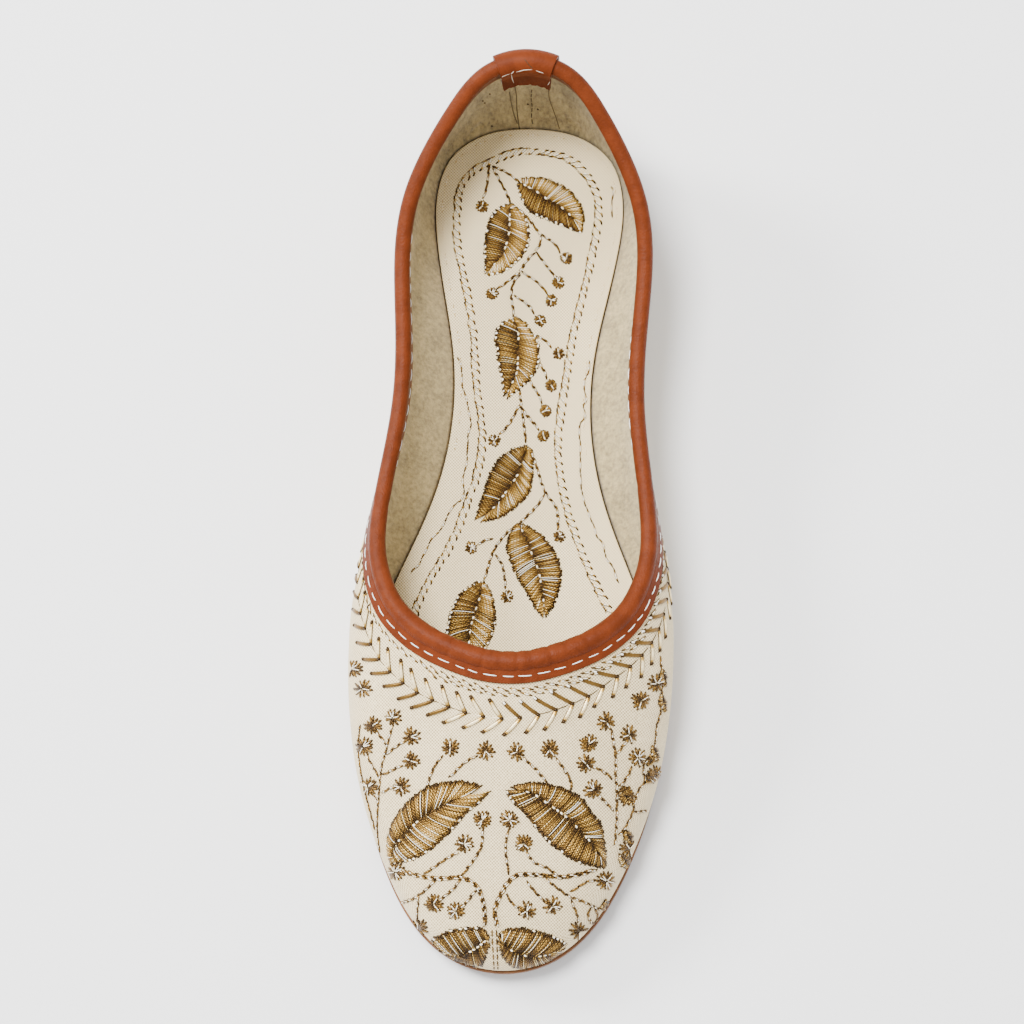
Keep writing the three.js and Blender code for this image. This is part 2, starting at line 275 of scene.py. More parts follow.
def material(name, make, **fixed):
    """A material whose make(where) gives what varies over the surface. Fixed values go on the
    shader's own sockets."""
    made = bpy.data.materials.new(name)
    made.use_nodes = True
    shader = made.node_tree.nodes["Principled BSDF"]
    where = Wire(made.node_tree).node("ShaderNodeTexCoord", {}, {}, out=3)
    for key, value in make(where).items():
        made.node_tree.links.new(value.socket, shader.inputs[key])
    for key, value in fixed.items():
        shader.inputs[key.replace("_", " ")].default_value = value
    return made


def leather(dark, light, grain, gloss, pore_depth=0.00008):
    """Leather: cloudy colour, fine pores and creases, and roughness that follows them."""
    cloud_scale = grain * 0.11
    pore_scale = grain * 1.2
    uneven_gloss = 0.18

    def make(where):
        clouds = ramp(noise(where, cloud_scale, 4, 0.6), (0.36, 0), (0.62, 1))
        fine = noise(where, grain, 5, 0.65)
        pores = where.node("ShaderNodeTexVoronoi", {"feature": "SMOOTH_F1"},
                           {"Vector": where, "Scale": pore_scale})
        return {"Base Color": blend(clouds * 0.35 + fine * 0.5 + 0.08, dark, light),
                "Roughness": fine * uneven_gloss + (gloss - uneven_gloss / 2),
                "Normal": bump(pores * 0.6 + fine * 0.6, pore_depth)}
    return make


def sole_ring(stations, outward, height):
    normal = plan_normal("foot_half", "foot_along", stations)
    ring = np.stack([loops["foot_half"](stations), loops["foot_along"](stations), 0 * stations], -1)
    ring += outward * normal
    ring[:, 2] = height(ring[:, 1])
    return ring


FILL_IN = (0.0, 0.3, 0.6, 0.85, 0.96)


def stacked(name, rings, finish):
    """A flat-bodied piece from rings listed from the top down, filled in to the centre line."""
    rings = np.array(rings)
    top = [rings[0] * (part, 1, 1) for part in FILL_IN]
    bottom = [rings[-1] * (part, 1, 1) for part in FILL_IN[::-1]]
    grid = np.array(top + list(rings) + bottom)[::-1].transpose(1, 0, 2)
    return solid(name, grid, finish, closed_across=False)


def rounded(outward, top, bottom, radius, steps=4):
    """Rings of a rounded edge, from the top down, as (outward, height) pairs."""
    turn = np.linspace(0, math.pi / 2, steps + 1)
    upper = [(outward - radius * (1 - math.sin(a)), top - radius * (1 - math.cos(a))) for a in turn]
    lower = [(outward - radius * (1 - math.cos(a)), bottom + radius * (1 - math.sin(a))) for a in turn]
    return upper + lower


sole_leather = material("sole_leather", leather(dark=(0.085, 0.033, 0.011), light=(0.19, 0.077, 0.026),
                                                grain=900, gloss=0.6), Specular_IOR_Level=0.25)
sole_stations = np.linspace(0, 2 * HALF, 457)[:-1]
outsole = stacked(
    "outsole_leather",
    [sole_ring(sole_stations, out, lambda y, z=z: underside_height(y) + z)
     for out, z in rounded(WELT, OUTSOLE, 0, EDGE_ROUND)],
    sole_leather)
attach(outsole, "root")
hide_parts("outsole")

# Heel lift. A low heel stacked from leather lifts, nailed and glued under the outsole, with a
# straight breast and the lines of the lifts showing on its side.
HEEL_BREAST_Y = 0.062
HEEL_MARGIN = 0.0003
HEEL_TAPER = 0.0006
HEEL_EDGE = 0.0004
LIFT = 0.0026
GROOVE = 0.00025
breast = HALF - np.linspace(0, 8, 8001)
breast = float(breast[loops["foot_along"](breast) > HEEL_BREAST_Y].min())
heel_stations = np.linspace(breast, 2 * HALF - breast, 160)


def heel_rings():
    """Rings down the heel's side, which narrows to the ground and is grooved between the lifts."""
    def side(out, height):
        return out - HEEL_TAPER * (1 - height / HEEL_HEIGHT), height

    rings = [side(*ring) for ring in rounded(HEEL_MARGIN, HEEL_HEIGHT - GAP, 0, HEEL_EDGE)]
    middle = len(rings) // 2
    for lifts in (2, 1):
        out, groove = side(HEEL_MARGIN, HEEL_HEIGHT - GAP - LIFT * lifts)
        rings[middle:middle] = [(out, groove + GROOVE), (out - GROOVE, groove), (out, groove - GROOVE)]
    return rings


heel_leather = material("heel_leather", leather(dark=(0.065, 0.026, 0.010), light=(0.15, 0.062, 0.022),
                                                grain=1100, gloss=0.55), Specular_IOR_Level=0.25)
heel = stacked(
    "heel_lift_leather",
    [sole_ring(heel_stations, out, lambda y, z=z: np.minimum(z, underside_height(y) - GAP))
     for out, z in heel_rings()],
    heel_leather)
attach(heel, "root")
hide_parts("heel_lift")

# Upper. Fine cream twill over a stiff backing, drawn over the last while wet, so that it is smooth
# and full over the toes. Inside it is lined with soft greenish split leather.
WALL = 0.0018
EDGE_BELOW_BEAD = 0.0015
WALL_ROWS = 56
WALL_TICKS = 41
CREASE_STEPS = 25
TWILL_PITCH = 0.00086
upper_stations = np.linspace(0, 2 * HALF, 609)[:-1]
# Creases, as soft troughs, or ridges where the depth is below zero. Each runs from one place to
# another, given as a station and a share of the wall's height, with its half width and its depth.
CLOTH_CREASES = [
    ((0.0, 0.10), (0.0, 0.48), 0.0030, 0.00035),
    ((4.3, 0.74), (5.6, 0.30), 0.0034, 0.00040),
    ((33.4, 0.76), (32.3, 0.34), 0.0034, 0.00034),
    ((1.6, 0.98), (2.9, 0.72), 0.0020, 0.00016),
    ((36.5, 0.98), (35.3, 0.74), 0.0020, 0.00016),
    ((7.4, 0.88), (6.7, 0.36), 0.0032, -0.00026),
    ((30.6, 0.88), (31.3, 0.36), 0.0032, -0.00026),
    ((9.6, 0.80), (8.6, 0.30), 0.0028, 0.00022),
    ((28.4, 0.80), (29.4, 0.30), 0.0028, 0.00022),
]
LINING_CREASES = [
    ((17.1, 0.06), (18.1, 0.24), 0.0013, 0.00045), ((20.4, 0.20), (21.3, 0.05), 0.0013, 0.00045),
    ((15.6, 0.70), (14.6, 0.25), 0.0030, 0.00040), ((22.6, 0.72), (23.6, 0.28), 0.0030, 0.00040),
]


def feather_height(y):
    return underside_height(y) + OUTSOLE + GAP


def wall_controls(station):
    foot_y = loops["foot_along"](station)
    foot = np.stack([loops["foot_half"](station), foot_y, feather_height(foot_y)], -1)
    collar = np.stack([loops[k](station) for k in ("collar_half", "collar_along", "collar_height")], -1)
    low = foot + plan_normal("foot_half", "foot_along", station) * loops["low_out"](station)[..., None]
    low[..., 2] += loops["low_up"](station)
    out = plan_normal("collar_half", "collar_along", station)
    high = collar + out * loops["high_out"](station)[..., None]
    high[..., 2] -= loops["high_drop"](station)
    return foot, low, high, collar


def wall_point(station, t):
    """Outside of the upper, from the feather line (t = 0) up to the collar (t = 1)."""
    a, b, c, d = wall_controls(station)
    t = t[..., None]
    return (1 - t) ** 3 * a + 3 * (1 - t) ** 2 * t * b + 3 * (1 - t) * t * t * c + t ** 3 * d


def wall_up(station, t):
    """Direction up the wall."""
    a, b, c, d = wall_controls(station)
    t = t[..., None]
    return unit((1 - t) ** 2 * (b - a) + 2 * (1 - t) * t * (c - b) + t ** 2 * (d - c))


def wall_normal(station, t):
    around = wall_point(station + STATION_STEP, t) - wall_point(station - STATION_STEP, t)
    return unit(np.cross(around, wall_up(station, t)))


def layer(station, t, depth):
    """A point at a depth inside the outer face, measured level on the feather line."""
    station, t, depth = np.broadcast_arrays(station, t, np.asarray(depth, float))
    normal = wall_normal(station, t)
    point = wall_point(station, t)
    shifted = point - normal * depth[..., None]
    level = np.hypot(normal[..., 0], normal[..., 1])[..., None]
    foot = point - np.concatenate([normal[..., :2], 0 * level], -1) * depth[..., None] / level ** 2
    foot[..., 2] = feather_height(foot[..., 1])
    return np.where((t <= 0)[..., None], foot, shifted)


def below_collar(station, distance):
    """The value of t at a distance down the wall from the collar."""
    station, distance = np.broadcast_arrays(np.asarray(station, float), np.asarray(distance, float))
    ticks = np.linspace(1, 0, WALL_TICKS)
    points = wall_point(station[..., None], np.broadcast_to(ticks, station.shape + (WALL_TICKS,)))
    lengths = np.linalg.norm(np.diff(points, axis=-2), axis=-1).cumsum(-1)
    lengths = np.concatenate([0 * lengths[..., :1], lengths], -1).reshape(-1, WALL_TICKS)
    found = [np.interp(d, row, ticks) for d, row in zip(distance.ravel(), lengths)]
    return np.array(found).reshape(station.shape)


def part_of(vector, k):
    """One of a vector's three parts."""
    return vector.node("ShaderNodeSeparateXYZ", {}, {0: vector}, out=k)


def twill(dark, light, slubs, relief):
    """Fine twill seen from all sides: three flat weaves mixed by which way the cloth faces."""
    def make(where):
        turn = 2 * math.pi / TWILL_PITCH
        x, y, z = [part_of(where, k) for k in range(3)]
        facing = where.node("ShaderNodeNewGeometry", {}, {}, out=1)
        shares = [part_of(facing, k).math("ABSOLUTE") ** 6 for k in range(3)]
        whole = shares[0] + shares[1] + shares[2]

        def weave(a, b):
            diagonal = ((a + b) * turn).math("SINE")
            return (a * turn).math("SINE") * (b * turn).math("SINE") * 0.85 + diagonal * 0.15
        mixed = weave(y, z) * shares[0] + weave(x, z) * shares[1] + weave(x, y) * shares[2]
        threads = mixed.math("DIVIDE", whole) * 0.5 + 0.5
        slub = ramp(noise(where, 1300, 3), (0.35, 0), (0.65, 1))
        soil = ramp(noise(where, 38, 3), (0.35, 0), (0.7, 1))
        shade = threads * 2.2 + slub * slubs + soil * 0.15 - (0.57 + slubs * 0.5)
        return {"Base Color": blend(shade.math("MAXIMUM", 0.0), dark, light),
                "Roughness": threads * 0.1 + 0.72,
                "Normal": bump(threads + slub * (slubs * 2), relief)}
    return make


def suede(dark, light):
    """Split leather: a nap drawn out upwards, cloudy, and darker towards the heel as painted shade."""
    def make(where):
        upright = where.node("ShaderNodeMapping", {}, {0: where, 3: (1.0, 1.0, 0.3)})
        nap = ramp(noise(upright, 900, 6, 0.75), (0.36, 0), (0.64, 1))
        patches = ramp(noise(upright, 150, 6, 0.75), (0.36, 0), (0.66, 1))
        # Painted shade: the lining darkens towards the back of the heel.
        painted_light_ramp = ramp(part_of(where, 1) * 10 - 0.2, (0.62, 0), (0.95, 1))
        shade = nap * 0.5 + patches * 0.34 + 0.15 - painted_light_ramp * 0.17
        return {"Base Color": blend(shade.math("MAXIMUM", 0.0), dark, light),
                "Roughness": nap * 0.1 + 0.85,
                "Normal": bump(nap + patches * 0.6, 0.0001)}
    return make


def wall_grid(depth, creases, inward):
    """One face of the wall, with its creases pressed in along its inward direction."""
    top = below_collar(upper_stations, EDGE_BELOW_BEAD)
    t = top[:, None] * np.linspace(0, 1, WALL_ROWS + 1)[None, :]
    face = layer(upper_stations[:, None], t, depth)
    pressed = np.zeros(t.shape)
    part = np.linspace(0, 1, CREASE_STEPS)
    for start, end, half_width, pressing in creases:
        line = layer(start[0] + (end[0] - start[0]) * part, start[1] + (end[1] - start[1]) * part, depth)
        away = np.linalg.norm(face[:, :, None] - line, axis=-1)
        fade = np.sin(math.pi * part[away.argmin(-1)])
        pressed += pressing * fade * np.exp(-(away.min(-1) / half_width) ** 2)
    return face - wall_normal(upper_stations[:, None], t) * (inward * pressed)[..., None]


upper_cloth = material("upper_cloth", twill(dark=(0.34, 0.247, 0.115), light=(0.925, 0.757, 0.442),
                                            slubs=0.3, relief=0.0001), Sheen_Weight=0.15)
lining_suede = material("lining_suede", suede(dark=(0.115, 0.087, 0.035), light=(0.61, 0.475, 0.222)),
                        Sheen_Weight=0.2)
outside = wall_grid(0.0, CLOTH_CREASES, 1)
inside = wall_grid(WALL, LINING_CREASES, -1)[:, ::-1]
upper = solid("upper_cloth_wall", np.concatenate([outside, inside], 1), upper_cloth)
upper.data.materials.append(lining_suede)
across = np.tile(np.arange(2 * WALL_ROWS + 2), len(upper_stations))
upper.data.polygons.foreach_set("material_index", (across > WALL_ROWS).astype(np.int32))
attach(upper, "root")
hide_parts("upper")

# Insole. A thin sock board covered in the same cream cloth, its edges turned under, and glued in
# from wall to wall over the outsole.
INSOLE = 0.0022
SOCK_EDGE = 0.0003
SNUG = 0.00004


def sock_ring(inset, height):
    ring = layer(upper_stations, 0.0, WALL + SNUG + inset)
    ring[:, 2] = feather_height(ring[:, 1]) + height
    return ring


insole_cloth = material("insole_cloth", twill(dark=(0.41, 0.308, 0.146), light=(0.935, 0.768, 0.462),
                                              slubs=0.15, relief=0.00008), Sheen_Weight=0.15)
insole = stacked(
    "insole_cloth_sock",
    [sock_ring(-out, z) for out, z in rounded(0, INSOLE, 0, SOCK_EDGE)],
    insole_cloth)
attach(insole, "root")
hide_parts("insole")

# Collar binding. A strip of tan leather rolled over a cord into a bead along the top edge, its
# two flanges clasping the cloth, sewn through beside the bead with white thread.
BEAD_BACK = 0.0022
BEAD_THROAT = 0.0029
BEAD_TAPER_START = 3
BEAD_TAPER_END = 10
FLANGE_LENGTH = 0.0042
FLANGE = 0.0007
FLANGE_ROUND = 0.0003
# Creases across the bead, where it bends round the throat: station, half width and depth.
BEAD_CREASES = [(-3.5, 0.16, 0.00014), (-2.7, 0.12, 0.00018), (-1.9, 0.20, 0.00014), (-1.1, 0.12, 0.0002),
                (-0.3, 0.16, 0.00014), (0.5, 0.12, 0.0002), (1.2, 0.20, 0.00016), (2.1, 0.12, 0.0002),
                (2.9, 0.16, 0.00014), (3.8, 0.14, 0.00014), (9.4, 0.10, 0.00012), (-8.8, 0.10, 0.00012)]


def place(station, across, along):
    """A point given across the wall (0 at its middle, outward positive) and along it (0 at the
    collar, upward positive)."""
    station, across, along = np.broadcast_arrays(station, across, along)
    t = below_collar(station, np.maximum(0, -along))
    return layer(station, t, WALL / 2 - across) + wall_up(station, t) * np.maximum(0, along)[..., None]


def bead_radius(station):
    from_toe = np.minimum(station, 2 * HALF - station)
    taper = smooth_step(BEAD_TAPER_START, BEAD_TAPER_END, from_toe)
    radius = BEAD_THROAT + (BEAD_BACK - BEAD_THROAT) * taper
    from_throat = (station + HALF) % (2 * HALF) - HALF
    for middle, half_width, depth in BEAD_CREASES:
        radius = radius - depth * np.exp(-((from_throat - middle) / half_width) ** 2)
    return radius


def binding_profile(radius):
    """Across and along the wall: out flange, over the bead, in flange and back up the slot."""
    slot = WALL / 2 + GAP
    side = slot + FLANGE
    bottom = -EDGE_BELOW_BEAD - FLANGE_LENGTH
    join = math.asin(min(1, side / radius))
    half = [(side - FLANGE_ROUND, bottom), (side, bottom + FLANGE_ROUND)]
    half += [(side, bottom * part) for part in (0.75, 0.5)]
    half += [(radius * math.sin(a), radius * math.cos(a)) for a in np.linspace(math.pi - join, 0, 14)]
    mirror = [(-x, y) for x, y in half[-2::-1]]
    well = [(-slot, bottom), (-slot, bottom * 0.6), (-slot, GAP - EDGE_BELOW_BEAD)]
    return half + mirror + well + [(-x, y) for x, y in well[::-1]]


binding_stations = np.linspace(0, 2 * HALF, 761)[:-1]
binding_section = np.array([binding_profile(r) for r in bead_radius(binding_stations)])
binding_grid = place(binding_stations[:, None], binding_section[..., 0], binding_section[..., 1])
binding_leather = material(
    "binding_leather", leather(dark=(0.060, 0.0118, 0.0034), light=(0.145, 0.0290, 0.0075), grain=2000,
                               gloss=0.38, pore_depth=0.00016), Specular_IOR_Level=0.06)
binding = solid("collar_binding_leather", binding_grid, binding_leather)
binding.data.set_sharp_from_angle(angle=math.radians(30))
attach(binding, "root")
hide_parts("collar_binding")

# Heel tab. A short strap of the same leather folded over the bead at the back of the heel, glued
# outside and hanging as a rough cut flap inside, where one row of white stitches crosses it.
TAB = 0.0009
TAB_HALF_WIDTH = 0.0088
TAB_RIGHT_HALF = 0.0075
TAB_FLAP = 0.0086
TAB_FLAP_LEAN = 0.0014
TAB_BACK = 0.013
TAB_COLUMNS = 96
TAB_SETTLE = 0.002
FLAP_PARTS = (0.2, 0.4, 0.6, 0.8, 0.95, 1)
FLAP_MIDDLE_LIFT = 0.0013
FLAP_NOTCHES = (-0.0069, -0.0037, 0.0006, 0.0031, 0.0056)
NOTCH_DEPTH = 0.0009
NOTCH_HALF_WIDTH = 0.00045
FLAP_RAGGED = 0.00012


def tab_path(offset):
    """Across and along the wall, from the lower edge behind the heel to the flap inside."""
    radius = BEAD_BACK + GAP + offset
    behind_wall = WALL / 2 + GAP + offset
    behind_flange = behind_wall + GAP + FLANGE
    flange_end = -EDGE_BELOW_BEAD - FLANGE_LENGTH
    path = [(behind_wall, -TAB_BACK * part) for part in (1, 0.85, 0.7)]
    path += [(behind_wall, flange_end - TAB_SETTLE), (behind_flange, flange_end - GAP)]
    path += [(radius * math.sin(a), radius * math.cos(a))
             for a in np.linspace(math.pi / 2, -math.pi / 2, 17)]
    return path + [(-radius - TAB_FLAP_LEAN * part, -TAB_FLAP * part) for part in FLAP_PARTS]


def back_stations(halves):
    """Stations near the back of the heel where the collar has the given half widths."""
    spread = np.linspace(HALF - 4, HALF + 4, 2001)
    return np.interp(-np.asarray(halves), -loops["collar_half"](spread), spread)


tab_halves = np.linspace(TAB_RIGHT_HALF, -TAB_HALF_WIDTH, TAB_COLUMNS + 1)
tab_stations = back_stations(tab_halves)
tab_profile = np.array(tab_path(TAB) + tab_path(0)[::-1])
tab_grid = place(tab_stations[:, None], tab_profile[None, :, 0], tab_profile[None, :, 1])
edge_lift = FLAP_MIDDLE_LIFT * (1 - (tab_halves / TAB_HALF_WIDTH) ** 2)
edge_lift += np.random.default_rng(5).normal(0, FLAP_RAGGED, TAB_COLUMNS + 1)
for notch in FLAP_NOTCHES:
    edge_lift += NOTCH_DEPTH * np.exp(-((tab_halves - notch) / NOTCH_HALF_WIDTH) ** 2)
edge_up = wall_up(tab_stations, below_collar(tab_stations, np.full(TAB_COLUMNS + 1, TAB_FLAP)))
points_across = len(tab_profile)
flap_start = points_across // 2 - len(FLAP_PARTS)
for k, part in enumerate(FLAP_PARTS):
    for column in (flap_start + k, points_across - 1 - flap_start - k):
        tab_grid[:, column] += edge_up * (edge_lift * part ** 3)[:, None]

tab_leather = material("tab_leather", leather(dark=(0.062, 0.0115, 0.003), light=(0.145, 0.0285, 0.007),
                                              grain=1700, gloss=0.5), Specular_IOR_Level=0.06)
# The flap's leather is darker than the tab's, as painted shade under the bead, and rougher.
shaded_flap_leather = material("shaded_flap_leather", leather(dark=(0.05, 0.0105, 0.003), light=(0.12, 0.026, 0.008),
                                                grain=1700, gloss=0.7), Specular_IOR_Level=0.06)
tab_caps = []
for k in range(points_across // 2 - 1):
    near = [k, k + 1, points_across - 2 - k, points_across - 1 - k]
    tab_caps += [near, [TAB_COLUMNS * points_across + i for i in near[::-1]]]
tab = solid("heel_tab_leather", tab_grid, tab_leather, tab_caps, closed_round=False)
tab.data.set_sharp_from_angle(angle=math.radians(50))
tab.data.materials.append(shaded_flap_leather)
for face in tab.data.polygons[:TAB_COLUMNS * points_across]:
    column = face.index % points_across
    face.material_index = int(flap_start <= column <= points_across - 1 - flap_start)
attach(tab, "root")
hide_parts("heel_tab")

# Stitching of the binding. White cotton in running stitches through both flanges just under the
# bead, set by hand, so that their lengths, gaps and slant vary a little.
SIDES = 6
FLATNESS = 0.8
TWIST = 0.0009
TWIST_SHIFT = 0.37
STITCH_ARCH = np.array([-0.7, 0.4, 0.7, 0.4, -0.7])
STITCH_SWELL = np.array([0.7, 1, 1.05, 1, 0.7])
LEAST_SHARE = 0.6
SHORTEST = 1e-9
STITCH_ROW = 0.0036
BINDING_STITCH = 0.0035
BINDING_GAP = 0.001
COTTON_RADIUS = 0.00014
BESIDE_TAB = 0.0008
INNER_ROW_END = 14.2
ROW_POINTS = 900


def tube(points, normals, radii):
    """Rings round a line of points; the seam of each ring is underneath."""
    along = unit(np.gradient(points, axis=0))
    side = unit(np.cross(along, normals))
    up = np.cross(side, along)
    turn = -math.pi / 2 + 2 * math.pi * np.arange(SIDES) / SIDES
    radii = np.broadcast_to(radii, len(points))[:, None, None]
    spokes = side[:, None] * np.cos(turn)[:, None] + up[:, None] * np.sin(turn)[:, None] * FLATNESS
    return points[:, None] + spokes * radii


def walked(points):
    """Length along a line at each of its points."""
    return np.concatenate([[0], np.linalg.norm(np.diff(points, axis=0), axis=1).cumsum()])


def length_of(points):
    return float(walked(points)[-1])


def sampled(line, lengths, values=None):
    """A line, or values given at its points, at some lengths along it."""
    columns = (line if values is None else values).T
    at = walked(line)
    return np.stack([np.interp(lengths, at, column) for column in columns], -1)


def sew(name, strands, finish):
    """One piece from all the strands of a group: (points, normals, radii, tones) each."""
    corners = []
    faces = []
    tones = []
    winds = []
    offset = 0
    for points, normals, radii, tone in strands:
        count = len(points)
        corners.append(tube(points, normals, radii).reshape(-1, 3))
        tones.append(np.repeat(np.broadcast_to(tone, count), SIDES))
        turns = walked(points)[:, None] / TWIST + np.arange(SIDES) / SIDES + len(winds) * TWIST_SHIFT
        winds.append(turns.ravel())
        r, k = np.meshgrid(np.arange(count - 1), np.arange(SIDES), indexing="ij")
        a = offset + r * SIDES + k
        b = offset + r * SIDES + (k + 1) % SIDES
        faces.append(np.stack([a, b, b + SIDES, a + SIDES], -1).reshape(-1, 4))
        offset += count * SIDES
    piece = mesh_piece(name, np.concatenate(corners).tolist(), np.concatenate(faces).tolist(), finish)
    for key, values in (("tone", tones), ("wind", winds)):
        attribute = piece.data.attributes.new(key, "FLOAT", "POINT")
        attribute.data.foreach_set("value", np.concatenate(values).astype(np.float32))
    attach(piece, "root")


def thread(stops, twist=0.3, metal=0.0, gloss=0.42):
    """Twisted thread: its colour follows the tone of each strand, with the plies winding round.
    Where the tone is highest the thread is plain white, not metal: a painted highlight."""
    def make(where):
        tone, wind = [where.node("ShaderNodeAttribute", {"attribute_name": key}, {}, out=2)
                      for key in ("tone", "wind")]
        ply = (wind * (2 * math.pi)).math("SINE")
        shade = (tone + ply * (0.1 * twist)).math("MAXIMUM", 0.0).math("MINIMUM", 1.0)
        # Painted highlight: near-white tones lose their metal so that they stay bright.
        painted_light_ramp = ramp(shade, (0.80, 1), (0.95, 0.05))
        return {"Base Color": where.node("ShaderNodeValToRGB", {"stops": stops}, {0: shade}),
                "Roughness": ply * 0.05 + gloss, "Metallic": painted_light_ramp * metal,
                "Normal": bump(ply, 0.00004, twist * 2)}
    return make


def cut(points, normals, start, end, samples=5):
    """A stretch of a line between two lengths along it."""
    at = np.linspace(start, end, samples)
    return sampled(points, at), unit(sampled(points, at, normals))


def running(points, normals, stitch, gap, radius, tone, slant=0.0, rise=1.0):
    """Running stitches along a line. tone() gives each stitch's tones, slant turns it aside."""
    strands = []
    at = 0.0
    total = length_of(points)
    while at + stitch * LEAST_SHARE < total:
        part, facing = cut(points, normals, at, min(at + stitch, total))
        run = part[-1] - part[0]
        aside = np.cross(run / max(np.linalg.norm(run), SHORTEST), facing[2])
        part = part + aside * np.linspace(-slant, slant, 5)[:, None]
        part = part + facing * (STITCH_ARCH * radius * rise)[:, None]
        strands.append((part, facing, radius * STITCH_SWELL, tone()))
        at += stitch + gap
    return strands


def one_stitch(points, normals, start, length, samples, radius, tone, slant=0.0, rise=1.0):
    """A single stitch over a stretch of a line."""
    line, facing = cut(points, normals, start, start + length, samples)
    return running(line, facing, length, 1, radius, tone, slant, rise)


def ring_line(across, along, stations):
    """A line round the shoe at a place across and along the wall, with its outward directions."""
    facing = wall_normal(stations, below_collar(stations, -along))
    return place(stations, across, along), facing * math.copysign(1, across)


def by_hand(points, normals):
    """A row of running stitches whose lengths, gaps and slant vary a little."""
    strands = []
    at = 0.0
    while at + BINDING_STITCH < length_of(points):
        own = BINDING_STITCH * hand.uniform(0.8, 1.25)
        strands += one_stitch(points, normals, at, own, 7, COTTON_RADIUS * hand.uniform(0.85, 1.1),
                              lambda: cotton_tones, slant=hand.uniform(-0.00008, 0.0002), rise=1.3)
        at += own + BINDING_GAP * hand.uniform(0.6, 1.5)
    return strands


hand = np.random.default_rng(11)
cotton_tones = np.array([0.3, 0.85, 1.0, 0.85, 0.3])
cotton = material("cotton_thread", thread([(0, (0.42, 0.33, 0.22)), (0.5, (0.80, 0.75, 0.64)),
                                           (1, (0.95, 0.93, 0.88))]), Sheen_Weight=0.2)
flange_face = WALL / 2 + GAP + FLANGE
behind_tab = back_stations([TAB_HALF_WIDTH + BESIDE_TAB])[0]
binding_strands = []
for face, end in ((flange_face, behind_tab), (-flange_face, INNER_ROW_END)):
    row = ring_line(face, -STITCH_ROW, np.linspace(-end, end, ROW_POINTS) % (2 * HALF))
    binding_strands += by_hand(*row)
sew("binding_stitches", binding_strands, cotton)

# Needlework on the upper. Bronze and white metal thread, couched and satin stitched by hand: two
# large leaves, smaller ones at the toe, and flowering stems between them and up the sides. Many of
# the white strands on the bronze are painted highlights. The lists give places in the photograph's
# pixels, and rays lay them on the cloth.
RIM_DROP = 0.005
STEM_RADIUS = 0.00034
STEM_APART = 0.00055
WHITE_LENGTH = 0.6
WHITE_LIFT = 0.8
SPOKE_RADIUS = 0.00036
SPOKE_LIFT = 0.0003
WHITE_SPOKE = 0.00014
WHITE_SPOKE_LIFT = 0.00028
# Tone shift and radius of proud and of sunk satin threads: the proud ones are painted lighter as lit, the
# sunk ones painted darker as shade.
PROUD_THREAD = (0.11, 0.00017)
SUNK_THREAD = (-0.17, 0.00024)
WHITE_THREAD = 0.0001
SATIN_ARCH = np.array([0.35, 0.85, 1.0, 0.85, 0.5, -0.15])
# Tones along a satin thread from the rib out: painted shade at the rib, a painted highlight across the
# middle, and darker at the ragged end. The tones of white threads are painted highlights.
SATIN_SHADE = np.array([-0.3, -0.1, 0.05, 0.1, 0.05, -0.45])
WHITE_SHADE = np.array([0.2, 0.5, 0.6, 0.6, 0.5, -0.1])
PROUD = 0.0001
SATIN_PITCH = 1.05
RAGGED_EDGE = 2.4
GOLD_STOPS = [(0, (0.012, 0.006, 0.002)), (0.3, (0.055, 0.028, 0.008)), (0.55, (0.24, 0.128, 0.024)),
              (0.75, (0.60, 0.37, 0.085)), (0.9, (1.0, 0.83, 0.48)), (1, (1.0, 0.98, 0.92))]
zari = material("metal_thread", thread(GOLD_STOPS, 0.8, 0.85, 0.34))
chance = np.random.default_rng(31)
stem_tones = [np.array([0.15, 0.31, 0.40, 0.31, 0.15]), np.array([0.18, 0.42, 0.50, 0.37, 0.18]),
              np.array([0.14, 0.27, 0.43, 0.43, 0.18])]
knot_tones = [np.array([0.05, 0.2, 0.3, 0.2, 0.05]), np.array([0.4, 0.9, 1.0, 0.9, 0.4])]
# Tones of the white strands laid over stitches: painted highlights.
gleam = np.array([0.45, 0.88, 1.0, 0.9, 0.45])
carriers = {}


def on_piece(piece, pixels, inside=False):
    """Points and outward directions where a piece lies under pixels of the photograph. Past its
    rim they fall on the rim, or on nothing at all if they are to be inside."""
    if piece.name not in carriers:
        faces = [tuple(face.vertices) for face in piece.data.polygons]
        carriers[piece.name] = BVHTree.FromPolygons([v.co.copy() for v in piece.data.vertices], faces)
    found = []
    for u, v in pixels:
        ray = photo_ray(u, v)
        hit = carriers[piece.name].ray_cast(eye, ray)
        if hit[0] is None and inside:
            return None, None
        if hit[0] is None:
            hit = carriers[piece.name].find_nearest(eye + ray * (DISTANCE - RIM_DROP))
        found.append(hit[:2])
    return np.array([f[0] for f in found]), np.array([f[1] for f in found])


def flow(pixels, step=2.0):
    """A smooth curve through charted pixels, in even steps."""
    p = np.array(pixels, float)
    p = np.concatenate([[2 * p[0] - p[1]], p, [2 * p[-1] - p[-2]]])
    t = np.linspace(0, 1, 10, endpoint=False)[:, None]
    parts = [0.5 * (2 * b + (c - a) * t + (2 * a - 5 * b + 4 * c - d) * t ** 2
                    + (3 * b - a - 3 * c + d) * t ** 3)
             for a, b, c, d in zip(p, p[1:], p[2:], p[3:])]
    curve = np.concatenate(parts + [p[-2:-1]])
    total = length_of(curve)
    return sampled(curve, np.linspace(0, total, max(3, round(total / step) + 1)))


